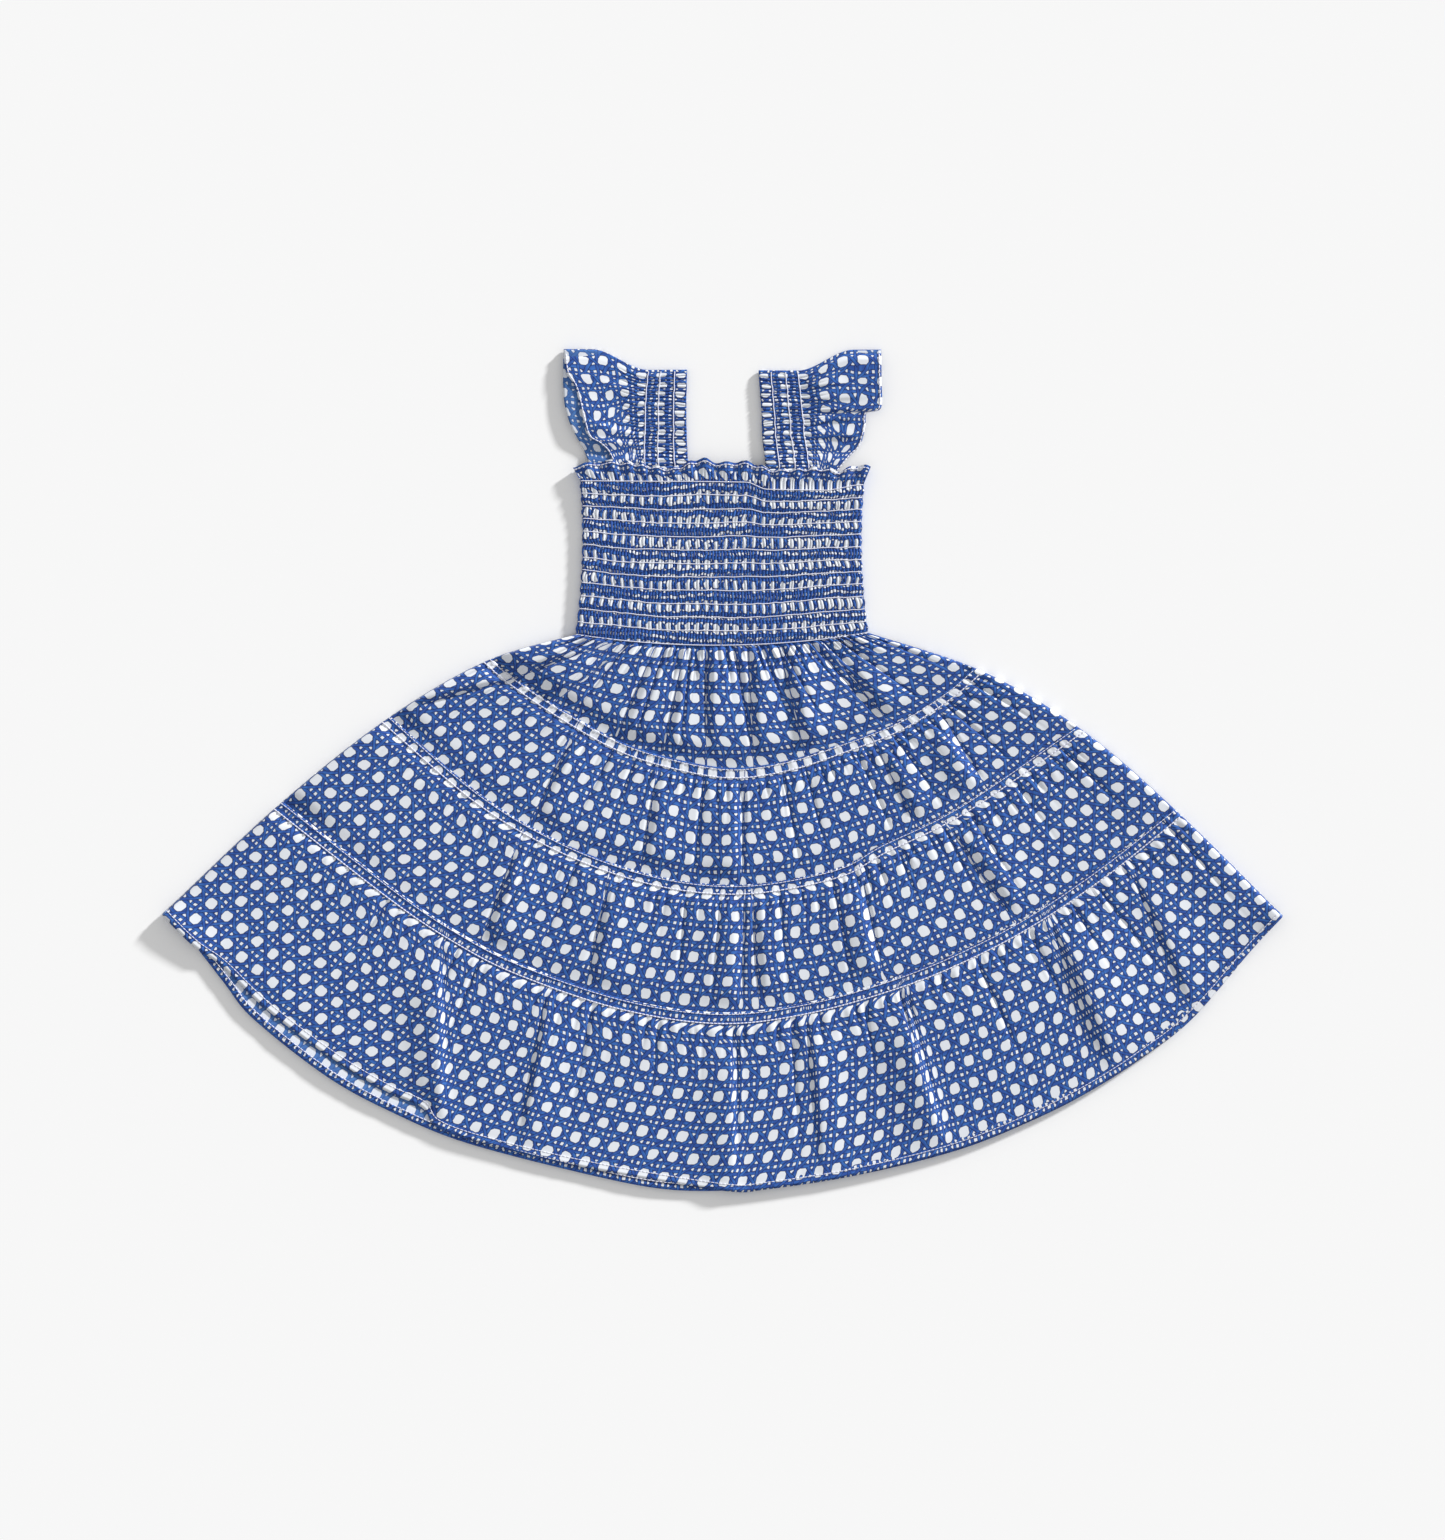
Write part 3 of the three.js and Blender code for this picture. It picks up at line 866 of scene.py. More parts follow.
        # most of the cloth lies in the puckers' valleys
        puckers = np.sin(2 * np.pi * self.puckers_passed(across, np.maximum(rows, 0)))
        pucker_cloth = self.pucker_share * self.cut_width / (2 * np.pi * self.puckers)
        along = cloth_along(front, self.cut_width) - puckers * pucker_cloth
        along *= 1 - loose
        along += cloth_along(front, self.cut_width, share[None, :]) * loose
        front_cloth = np.stack([along, down[:, None] + tilt], axis=-1)
        back_along = np.linspace(self.cut_width, 2 * self.cut_width, back.shape[1] + 2)[1:]
        back_cloth = np.stack(np.broadcast_arrays(back_along[None, :], down[:, None]), axis=-1)
        cloth = np.concatenate([front_cloth, back_cloth], axis=1)
        cloth[..., 1] += self.first_print_row
        mesh.add_grid(ring, cloth, ring=True)
        piece = mesh.build(cotton)
        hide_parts("bodice_front", "bodice_back", "neck_frill_front", "neck_frill_back")
        return piece

    def thread_lines(self) -> tuple[list[np.ndarray], np.ndarray]:
        """The elastic rows' lines and the frill's hem line, on the front.

        Returns:
            The thirteen rows, then the hem line.
        """
        front, _, rows = self.front()
        lines = [front[int(np.argmin(np.abs(rows - r)))] for r in range(self.rows)]
        return lines, front[2]


def cloth_along(points: np.ndarray, cut: float, tucks: np.ndarray | None = None) -> np.ndarray:
    """How far along the flat cut each point of a gathered row lies.

    Args:
        points: rows and columns of the laid-out cloth.
        cut: the flat cut's width.
        tucks: cloth hidden in small tucks up to each point, as shares of all that is hidden in its row.

    Returns:
        The place along the cut, by row and column.
    """
    steps = np.linalg.norm(np.diff(points, axis=1), axis=2)
    along = np.concatenate([np.zeros((len(points), 1)), np.cumsum(steps, axis=1)], axis=1)
    total = along[:, -1:]
    if tucks is None:
        return along * cut / total
    hidden = np.maximum(cut - total, 0)
    return along * (cut - hidden) / total + hidden * tucks


@dataclass
class SkirtPlan:
    """Where the skirt's seams lie, from the left fold to the right one, in millimetres.

    Args:
        bodice: the bodice, whose last row is the waist.
        seam_1: the seam between tiers 1 and 2.
        seam_2: the seam between tiers 2 and 3.
        seam_3: the seam between tiers 3 and 4.
        hem_front: the front's hem.
        hem_back: the back's hem, which shows beyond it at the lower left.
    """

    bodice: Bodice
    seam_1: LaidCurve = LaidCurve((
        (-179, 81), (-159, 64), (-122, 39), (-77, 14), (-32, 0), (9, -6), (51, 0), (88, 12), (134, 30),
        (172, 54), (195, 74)))
    seam_2: LaidCurve = LaidCurve((
        (-255, 36), (-188, -22), (-133, -56), (-77, -79), (-24, -91), (28, -92), (88, -80), (122, -62),
        (182, -32), (271, 29)))
    seam_3: LaidCurve = LaidCurve((
        (-336, -29), (-249, -97), (-201, -129), (-154, -153), (-77, -179), (-2, -190), (66, -182),
        (136, -162), (189, -140), (237, -114), (291, -77), (344, -34)))
    hem_front: LaidCurve = LaidCurve((
        (-419.6, -108), (-397, -131), (-375, -147), (-342, -179), (-293, -216), (-253, -240), (-225, -253),
        (-213, -268), (-171, -282), (-92, -300), (1, -315), (33, -314), (103, -303), (178, -284),
        (235, -261), (276, -240), (315, -215), (352, -186), (396, -135), (419.6, -109)))
    hem_back: LaidCurve = LaidCurve((
        (-419.6, -108), (-396, -131), (-373, -160), (-351, -187), (-293, -232), (-238, -261), (-193, -279),
        (-126, -297), (-58, -312), (-13, -315.4), (33, -312), (103, -300), (178, -280), (235, -257),
        (276, -236), (315, -210), (352, -181), (396, -130), (419.6, -108)))

    def laid(self, across: np.ndarray, down: np.ndarray, side: Side) -> np.ndarray:
        """Places on the laid-out skirt.

        Args:
            across: shares from the left fold to the right one.
            down: tiers down from the waist, 0 at the waist and 4 at the hem.
            side: the front or the back, whose hems differ.

        Returns:
            X and Y for each row and share.
        """
        waist = self.bodice.laid(across, np.array([self.bodice.rows - 1.0]))[0]
        hem = self.hem_front if side is Side.FRONT else self.hem_back
        lines = [waist] + [curve.at(across) for curve in (self.seam_1, self.seam_2, self.seam_3, hem)]
        return through_points(np.stack(lines), down / 4)


# the skirt's large folds as they lie
FOLDS: tuple[Fold, ...] = (
    Fold(1, (-6, 90), (-6, 22), 2.6, 9),
    Fold(1, (26, 88), (29, 18), 2.8, 9),
    Fold(1, (50, 92), (68, 14), 4.2, 10),
    Fold(1, (98, 80), (128, 44), 3.4, 11),
    Fold(1, (-26, 70), (-38, 16), 2.4, 9),
    Fold(1, (-50, 76), (-72, 26), 2.4, 10),
    Fold(1, (-108, 93), (-166, 72), 4.0, 9, 1),
    Fold(1, (-92, 84), (-134, 52), 2.8, 8, 1),
    Fold(2, (-162, 71), (-230, 52), 3.0, 6, 1, 0.5),
    Fold(2, (158, 38), (192, -18), 4.0, 11, 1),
    Fold(2, (124, 16), (152, -40), 2.8, 10),
    Fold(2, (8, -16), (6, -86), 2.6, 12, 1),
    Fold(2, (-44, -12), (-54, -70), 2.4, 10),
    Fold(2, (-108, 20), (-134, -34), 2.6, 10),
    Fold(3, (-150, -68), (-172, -126), 3.6, 11),
    Fold(3, (-80, -88), (-94, -160), 2.8, 10),
    Fold(3, (8, -100), (6, -180), 2.6, 12, 1),
    Fold(3, (30, -102), (34, -170), 2.2, 10),
    Fold(3, (98, -86), (112, -152), 3.0, 11, 1),
    Fold(3, (182, -46), (222, -104), 2.8, 12),
    Fold(4, (-214, -142), (-212, -244), 4.2, 13, 1, 1.3),
    Fold(4, (-128, -172), (-146, -268), 3.0, 12),
    Fold(4, (6, -200), (6, -296), 2.8, 13, 1),
    Fold(4, (68, -190), (76, -280), 2.4, 11),
    Fold(4, (134, -176), (160, -268), 4.4, 14, 1, 2.2),
    Fold(4, (256, -118), (291, -206), 4.4, 20, -1, 2.6),
    Fold(4, (314, -80), (352, -168), 2.4, 14),
)


@dataclass
class Tier:
    """One gathered tier of the skirt, a tube laid flat.

    Args:
        plan: where the skirt's seams lie.
        number: the tier, from 1 at the waist.
        cut_width: flat width of the front's cut. The back's is the same.
        gathers: gathers that run far down the tier.
        columns: columns of the front's mesh.
        print_start: how far above the seam a row of the print's holes lies.
        ruffles: small ruffles that stand just below the gathered seam.
        ruffle_height: half their height.
        ruffle_reach: how far they run down the tier.
        back_low: middle height of the back.
        back_wave: half the height of the back's own waves.
        back_ruffles: the back's small ruffles.
        flat_low: middle height of the back near its lower edge.
        flat_wave: half the height of its waves there.
        row_count: rows of the mesh from the seam down.
        back_columns: columns of the back's mesh.
        heading: how far the folded heading laps over the tier above.
        least_depth: the least depth of a tier, in which the heading's depth is told.
        hem: depth of the turned hem.
        front_low: lowest middle height of the front.
        side_swell: how much higher the front lies near the side folds.
        sway: half the height of the front's broad unevenness.
        sway_length: distance between its highs and lows.
        gather_low: how far the cloth stands up between the tucks far down the tier.
        gather_high: how much more it stands up just below the seam.
        gather_reach: over what distance it comes down from there.
        tuck_start: share of a tuck's depth that is there even where the cloth doesn't stand up.
        tuck_sides: half widths of a tuck's left side and of its right side.
        tuck_bottom: half width of its sharp bottom.
        stitch_pinch: how much the stitch lines flatten the gathers.
        joint_low: height of the tier's lower edge, under the next tier's heading.
        heading_lift: how much higher the heading lies.
        fold_share: cloth hidden in a large fold, against the small tucks.
        crease_depth: depth of the crease at a large fold's foot.
        print_repeat: the print's repeat down the cloth.
        print_drift: how far the print's rows stray up and down.
        thickness: the cloth's thickness, a little over the real one, so that the light stays out.
        edge_low: height of the side folds.
        edge_roll: over what distance the front rises from them.
        rim_lift: how far the hem stands off the floor.
        lift_reach: how far up from the hem it does.
        back_shows_to: X up to which the back's hem line shows beyond the front's.
        tuck_share: how deep the tucks are, against the depths drawn for them.
    """

    plan: SkirtPlan
    number: int
    cut_width: float
    gathers: int
    columns: int
    print_start: float
    ruffles: int
    ruffle_height: float = 0.5
    ruffle_reach: float = 14.0
    back_low: float = 0.75
    back_wave: float = 0.35
    back_ruffles: int = 90
    flat_low: float = 0.75
    flat_wave: float = 0.35
    row_count: int = 38
    back_columns: int = 150
    heading: float = 7.0
    least_depth: float = 90.0
    hem: float = 5.0
    front_low: float = 2.0
    side_swell: float = 2.2
    sway: float = 0.8
    sway_length: float = 95.0
    gather_low: float = 0.35
    gather_high: float = 1.5
    gather_reach: float = 30.0
    tuck_start: float = 0.35
    tuck_sides: tuple[float, float] = (1.9, 3.2)
    tuck_bottom: float = 0.9
    stitch_pinch: float = 0.6
    joint_low: float = 1.9
    heading_lift: float = 1.0
    fold_share: float = 26.0
    crease_depth: float = 1.8
    print_repeat: float = 16.2
    print_drift: float = 1.4
    thickness: float = 0.3
    edge_low: float = 0.9
    edge_roll: float = 3.2
    rim_lift: float = 2.6
    lift_reach: float = 16.0
    back_shows_to: float = -15.0
    tuck_share: float = 0.8

    @property
    def name(self) -> str:
        """The piece's name."""
        return f"tier_{self.number}"

    def down(self) -> np.ndarray:
        """The rows' places, in tiers from the waist, closer together near the gathered seam."""
        index = self.number - 1
        below = index + np.linspace(0, 1, self.row_count) ** 1.35
        if self.number == 1:
            return below
        lapped = self.heading / self.least_depth * np.array([1.0, 0.8, 0.5, 0.2])
        return np.concatenate([index - lapped, below])

    def tucks(self) -> tuple[np.ndarray, np.ndarray, np.ndarray, np.ndarray]:
        """The small tucks in which the gathered cloth is hidden.

        Returns:
            Their shares across, their drift down the tier, their reach down it and their depth.
        """
        rng = np.random.default_rng(40 + self.number)
        places, reaches, depths = [], [], []
        long_tucks = (self.gathers // 2, (35, 90), (1.3, 2.1))
        short_tucks = (2 * self.gathers, (8, 30), (0.8, 1.5))
        for count, reach, depth in (long_tucks, short_tucks):
            even = (np.arange(count) + 0.5) / count
            places.append(even + rng.uniform(-0.36, 0.36, count) / count)
            reaches.append(rng.uniform(*reach, count))
            depths.append(rng.uniform(*depth, count))
        across = np.concatenate(places)
        drift = rng.uniform(-0.006, 0.006, len(across))
        return across, drift, np.concatenate(reaches), np.concatenate(depths)

    def ruffle_wave(self, across: np.ndarray, below: np.ndarray) -> np.ndarray:
        """Small ruffles below the gathered seam, from -1 to 1, which fade down the tier."""
        stray = 0.6 * noise_field(across[None, :] * self.ruffles / 2.3, below / 26 + 9, 30 + self.number)
        wave = np.cos(2 * np.pi * (across[None, :] * self.ruffles + stray))
        flat = 1 - 0.8 * bump(below, 3.0) if self.number > 1 else 1.0
        return wave * flat * np.exp(-(np.maximum(below, 0) / self.ruffle_reach) ** 2)

    def front(self) -> tuple[np.ndarray, np.ndarray, np.ndarray]:
        """The front's grid.

        Returns:
            The points, the place along the cut and the distance below the gathered seam.
        """
        across = np.linspace(0, 1, self.columns + 1)
        places = self.plan.laid(across, self.down(), Side.FRONT)
        seam_row = 0 if self.number == 1 else 4
        down = run_length(places)
        below = down - down[seam_row]
        width = np.linalg.norm(np.diff(places, axis=1), axis=2).sum(axis=1)[:, None]
        x, y = places[..., 0], places[..., 1]

        edge = np.minimum(across, 1 - across)[None, :] * width
        roll = np.sqrt(1 - (1 - np.clip(edge / self.edge_roll, 0, 1)) ** 2)
        height = self.edge_low + (self.front_low + self.side_swell - self.edge_low) * roll
        height -= self.side_swell * smooth_step(edge, 5, 45)
        broad = noise_field(x / self.sway_length + 20, y / self.sway_length + 20, 5)
        height += self.sway * roll * (1 + broad)
        hidden = np.zeros_like(x)
        for fold in FOLDS:
            if fold.tier == self.number:
                height += roll * (fold.heights(places) - self.crease_depth * fold.crease(places))
                hidden += self.fold_share * fold.hides * fold.hidden(places)

        # the cloth stands up between the tucks, most just below the seam
        near_seam = np.exp(-np.maximum(below, 0) / self.gather_reach) * smooth_step(below, 0, 4)
        full = self.gather_low + self.gather_high * near_seam
        rim = below[-1:] - below
        ending = smooth_step(rim, 2, 12) if self.number < 4 else 1.0
        valley = np.zeros_like(x)
        for place, drift, reach, depth in zip(*self.tucks()):
            centre = place + drift * np.clip(below / 100, 0, 1)
            aside = (across[None, :] - centre) * width
            strength = np.exp(-(np.maximum(below, 0) / reach) ** 2)
            side = bump(aside, np.where(aside < 0, *self.tuck_sides))
            valley += depth * strength * (0.5 * side + 1.1 * bump(aside, self.tuck_bottom))
            hidden += strength * depth ** 3 * smooth_step(aside, -0.5, 0.5)
        # both stitch lines pinch the cloth
        upper_line = bump(below + self.heading - 1.3, 1.6) if self.number > 1 else 0
        pinch = 1 - self.stitch_pinch * (bump(below, 2.6) + upper_line)
        sunk = valley * np.minimum(self.tuck_start + full, 1.0) * ending * self.tuck_share
        height += roll * (full * ending * pinch - sunk)
        height += roll * self.ruffle_height * self.ruffle_wave(across, below) * ending
        lowest = np.add(*self.back_heights()) + self.thickness + 0.1
        height = np.maximum(height, lowest * roll + self.edge_low * (1 - roll))
        # the lower edge lies flat under the next tier's heading, which laps over it
        if self.number < 4:
            under = (1 - smooth_step(rim, self.heading + 1, 24)) * roll
            height = height * (1 - under) + self.joint_low * under
        if self.number > 1:
            heading = (1 - smooth_step(below, 0.5, 9)) * roll
            over = self.joint_low + self.heading_lift
            lapped = over + 0.5 * (height - over)
            height = np.maximum(height, over * heading) * (1 - heading) + heading * lapped
            height = np.maximum(height, (over - 0.25) * heading)
        if self.number == 4:
            beyond = self.plan.laid(across, self.down()[-1:], Side.BACK) - places[-1:]
            apart = np.linalg.norm(beyond, axis=2)
            # where the back's hem shows beyond it, the front lies right on the back
            close = bump(rim, 15.0) * smooth_step(apart, 1.0, 4.0)
            lifted = self.rim_lift * bump(rim + apart, self.lift_reach)
            height += self.rim_lift * bump(rim, self.lift_reach)
            height = height * (1 - close) + close * (2.0 + lifted)
            height += 0.35 * (rim < self.hem) - 0.3 * bump(rim - self.hem, 0.9)
        points = np.concatenate([places, height[..., None]], axis=-1)
        share = hidden / np.maximum(hidden[:, -1:], 1e-9)
        share -= share[:, :1]
        along = cloth_along(points, self.cut_width, share / np.maximum(share[:, -1:], 1e-9))
        return points, along, below

    def back_heights(self) -> tuple[np.ndarray, np.ndarray]:
        """The back's middle height and half its waves' height, by row."""
        upper = (1 - smooth_step(self.down() - self.number + 1, 0.6, 0.95))[:, None]
        low = self.flat_low + (self.back_low - self.flat_low) * upper
        return low, self.flat_wave + (self.back_wave - self.flat_wave) * upper

    def back(self) -> np.ndarray:
        """The back's grid, from the right fold to the left one, resting on the floor."""
        across = np.linspace(1, 0, self.back_columns + 2)[1:-1]
        places = self.plan.laid(across, self.down(), Side.BACK)
        down = (self.down() - self.number + 1)[:, None]
        wave = noise_field(across[None, :] * self.gathers * 1.5, down * 1.2, 60 + self.number)
        ruffles = np.cos(2 * np.pi * (across[None, :] * self.back_ruffles + 0.4 * wave))
        share = np.exp(-(np.maximum(down, 0) / 0.8) ** 2)
        low, high = self.back_heights()
        height = low + high * (ruffles * share + wave * (1 - share))
        if self.number == 4:
            rim = np.linalg.norm(places - places[-1:], axis=2)
            height = height + self.rim_lift * bump(rim, self.lift_reach)
        return np.concatenate([places, height[..., None]], axis=-1)

    def turned_hem(self, ring: np.ndarray, front_columns: int) -> np.ndarray:
        """Turns the hem up inside the tube.

        Args:
            ring: the tube's rows and columns of points.
            front_columns: how many of the columns are the front's.

        Returns:
            The points with three rows more.
        """
        inwards = np.ones(ring.shape[1])
        inwards[:front_columns] = -1
        inwards[[0, front_columns - 1]] = 0
        apart = np.stack([0 * inwards, 0 * inwards, 0.7 * inwards], axis=1)
        fold = self.hem_row(ring)
        near = ring[-1] + (ring[fold] - ring[-1]) * 0.08
        half = ring[(fold + len(ring)) // 2]
        return np.concatenate([ring, np.stack([near + 0.6 * apart, half + apart, ring[fold] + apart])])

    def hem_row(self, ring: np.ndarray) -> int:
        """The row on which the hem is stitched."""
        rim = np.median(np.linalg.norm(ring[-1:] - ring, axis=2), axis=1)
        return int(np.argmin(np.abs(rim - self.hem)))

    def build(self, cotton: list[bpy.types.Material]) -> bpy.types.Object:
        """Makes the tier as one tube.

        Args:
            cotton: the cloth's materials.

        Returns:
            The piece.
        """
        front, along, below = self.front()
        back = self.back()
        ring = np.concatenate([front, back], axis=1)
        back_along = np.linspace(self.cut_width, 2 * self.cut_width, self.back_columns + 2)[1:]
        down = np.concatenate([below, np.repeat(below[:, -1:], self.back_columns + 1, axis=1)], axis=1)
        across = np.concatenate([along, np.repeat(back_along[None, :], len(below), axis=0)], axis=1)
        # the back's own cut starts elsewhere in the print, between two rows of holes at its hem
        start = np.full(across.shape[1], self.print_start)
        start[front.shape[1]:] = 0.8 * self.print_repeat - below[-1, -1]
        cloth = np.stack([across, down + start], axis=-1)
        drift = noise_field(along / 45, below / 60, 70 + self.number)
        cloth[:, :front.shape[1], 1] += self.print_drift * drift
        depth = float(below[-1].mean() - below[0].mean())
        if self.number == 4:
            ring = self.turned_hem(ring, front.shape[1])
            turned = cloth[-1:].repeat(3, axis=0)
            turned[..., 1] += np.array([0.4, self.hem / 2, self.hem])[:, None]
            cloth = np.concatenate([cloth, turned])
            depth += self.hem
        mesh = ClothMesh(self.name)
        mesh.add_grid(ring, cloth, ring=True)
        piece = mesh.build(cotton, self.thickness)
        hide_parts(f"{self.name}_front", f"{self.name}_back")
        return piece

    def thread_lines(self) -> list[np.ndarray]:
        """The front's stitch lines: two at a lapped heading, and one above the hem.

        Returns:
            The lines from the top down.
        """
        points, _, _ = self.front()
        lines = [points[1], points[4]] if self.number > 1 else []
        if self.number == 4:
            lines.append(points[self.hem_row(points)])
            back = self.back()
            line = back[self.hem_row(back)] + np.array([0.0, 0.0, 1.1])
            lines.append(line[line[:, 0] < self.back_shows_to])
        return lines


@dataclass
class FlutterStrap:
    """A shirred strap with a flutter at its outer side, folded over at the shoulder.

    Args:
        name: the piece's name.
        node: the frame's node that it dresses.
        inner: the neck side's edge, from the frill up to the shoulder.
        outer_front: the flutter's edge on the front run.
        outer_back: the flutter's edge on the back run.
        step_y: Y of the fold that laps the flutter's upper part over its lower part, or None.
        edge_lift: how far the flutter's edge stands up.
        creases: ridges across the flutter.
        seed: which noise.
        stitch_shares: where the elastic rows lie across the strap.
        shirred: share of the width that is shirred.
        shoulder_rise: over what share of the width the shoulder rises.
        over_frill: Y up to which the back run lies on the back's frill.
        on_floor: Y from which it lies on the floor.
        frill_height: how high the back's frill holds it up.
        width: flat width of the strip.
        fullness: length of the cut against the laid length.
        puckers: puckers of each run.
        pucker_height: half their height on the front run.
        pucker_share: how much of the cloth's excess lies in their valleys.
        waver: how far the elastic rows stray to the side.
        front_low: middle height of the front run, above what the back run lies on.
        step_height: how much higher the flutter lies above step_y.
        back_low: middle height of the back run, above what it lies on.
        back_pucker: half its puckers' height.
        shoulder_top: height of the front run at the shoulder.
        shoulder_out: how far the cloth rolls out there.
        shoulder_drop: half of how far it comes down in the roll.
        print_start: how far the print is shifted across.
        drift_across: how far the print strays across.
        drift_down: how far it strays along the strap.
        thickness: the cloth's thickness, a little over the real one, so that the light stays out.
        front_rows: rows of the front run's mesh.
        back_rows: rows of the back run's mesh.
        columns: columns of the mesh.
        cut_share: area of the tapered cut, against its box. Not used.
    """

    name: str
    node: str
    inner: LaidCurve
    outer_front: LaidCurve
    outer_back: LaidCurve
    step_y: float | None
    edge_lift: float
    creases: tuple[Fold, ...]
    seed: int
    stitch_shares: tuple[float, float, float] = (0.11, 0.22, 0.33)
    shirred: float = 0.33
    shoulder_rise: float = 0.45
    over_frill: float = 231.0
    on_floor: float = 239.0
    frill_height: float = 1.9
    width: float = 94.0
    fullness: float = 2.27
    puckers: int = 27
    pucker_height: float = 0.62
    pucker_share: float = 0.55
    waver: float = 0.7
    front_low: float = 3.3
    step_height: float = 2.0
    back_low: float = 1.4
    back_pucker: float = 1.3
    shoulder_top: float = 3.1
    shoulder_out: float = 1.1
    shoulder_drop: float = 1.2
    print_start: float = 3.0
    drift_across: float = 1.1
    drift_down: float = 2.1
    thickness: float = 0.3
    front_rows: int = 190
    back_rows: int = 170
    columns: int = 58
    cut_share: float = 0.72

    def laid(self, edge: LaidCurve, across: np.ndarray, up: np.ndarray) -> np.ndarray:
        """Places on a run of the strap.

        Args:
            edge: the run's outer edge.
            across: shares from the inner edge to the outer one.
            up: shares from the frill to the shoulder.

        Returns:
            X and Y for each row and share.
        """
        inner, outer = self.inner.at(up)[:, None], edge.at(up)[:, None]
        wide = np.linalg.norm(outer - inner, axis=2)
        band = self.shirred * self.width * (1.06 - 0.1 * up[:, None])
        tight = band * np.minimum(across / self.shirred, 1)[None, :]
        loose = (wide - band) * np.clip((across - self.shirred) / (1 - self.shirred), 0, 1)[None, :]
        places = inner + (outer - inner) * ((tight + loose) / wide)[..., None]
        rise = smooth_step(across, self.shirred, self.shirred + self.shoulder_rise) - across
        top = edge.at(np.ones(1))[0, 1] - self.inner.at(np.ones(1))[0, 1]
        places[..., 1] += rise[None, :] * top * up[:, None] ** 2
        # the elastic rows draw unevenly, so they waver, but the strap's edges don't
        inside = bump(across - self.shirred * 0.66, 0.16)[None, :]
        stray = noise_field(across[None, :] * 3, up[:, None] * 17, self.seed + 7)
        places[..., 0] += self.waver * inside * stray
        return places

    def base(self, y: np.ndarray) -> np.ndarray:
        """How high the back run lies: on the back frill, then on the floor."""
        return self.frill_height * (1 - smooth_step(y, self.over_frill, self.on_floor))

    def clear(self, y: np.ndarray) -> np.ndarray:
        """How free a place is of the front frill, which lies over the strap's foot."""
        return smooth_step(y, self.over_frill + 2, self.over_frill + 24)

    def puckers_passed(self, across: np.ndarray, up: np.ndarray) -> np.ndarray:
        """How many puckers of the front run lie below each place."""
        a, u = across[None, :], up[:, None]
        stray = 0.5 * noise_field(a * 4, u * 14, self.seed) + 0.25 * noise_field(a * 11, u * 9, self.seed + 1)
        return u * self.puckers + stray

    def front(self) -> tuple[np.ndarray, np.ndarray]:
        """The front run's grid, from the frill up.

        Returns:
            The points, and the across shares.
        """
        across = np.linspace(0, 1, self.columns + 1)
        up = np.linspace(0, 1, self.front_rows + 1)
        places = self.laid(self.outer_front, across, up)
        x, y = places[..., 0], places[..., 1]
        a, u = across[None, :], up[:, None]
        tight = 1 - smooth_step(a, self.shirred - 0.02, self.shirred + 0.3)
        near_row = sum(bump(a - share, 0.022) for share in self.stitch_shares)
        wave = 1 - 2 * np.abs(np.sin(np.pi * self.puckers_passed(across, up))) ** 7
        broad = noise_field(a * 2.2, u * 6.5 + 0.8 * a, self.seed + 2)
        height = self.front_low + self.base(y) - 0.4 * near_row
        height = height + wave * tight * (self.pucker_height - 0.15 * near_row)
        relief = (1 - tight) * (0.1 + 0.5 * broad) + self.edge_lift * smooth_step(a, 0.55, 1.0)
        for crease in self.creases:
            relief = relief + crease.heights(places) * smooth_step(a, 0.3, 0.45)
        height = height + relief * self.clear(y)
        if self.step_y is not None:
            flutter = smooth_step(a, self.shirred, 0.6)
            height = height + self.step_height * flutter * smooth_step(y, self.step_y - 1, self.step_y + 1)
        top = smooth_step(u, 0.93, 1.0)
        height = height * (1 - top) + top * self.shoulder_top
        return np.stack([x, y, height], axis=-1), across

    def shoulder(self, front: np.ndarray) -> np.ndarray:
        """The rows in which the cloth rolls over at the shoulder.

        Args:
            front: the front run's points.

        Returns:
            Five rows of points, from the front run's last row on.
        """
        rows = []
        for angle in np.linspace(0, np.pi, 7)[1:-1]:
            row = front[-1].copy()
            row[:, 1] += self.shoulder_out * math.sin(angle)
            row[:, 2] = self.shoulder_top - self.shoulder_drop * (1 - math.cos(angle))
            rows.append(row)
        return np.stack(rows)

    def back(self, across: np.ndarray) -> np.ndarray:
        """The back run's grid, from the shoulder down.

        Args:
            across: shares from the inner edge to the outer one.

        Returns:
            The points.
        """
        up = np.linspace(1, 0, self.back_rows)
        places = self.laid(self.outer_back, across, up)
        a, u = across[None, :], up[:, None]
        tight = 1 - smooth_step(a, self.shirred - 0.02, self.shirred + 0.3)
        wave = np.cos(2 * np.pi * (u * self.puckers + 0.4 * noise_field(a * 4, u * 14, self.seed + 3)))
        height = self.back_low + self.base(places[..., 1]) + self.back_pucker * wave * tight
        height = height + (self.edge_lift + 0.6) * smooth_step(a, 0.5, 0.95) * self.clear(places[..., 1])
        return np.concatenate([places, height[..., None]], axis=-1)

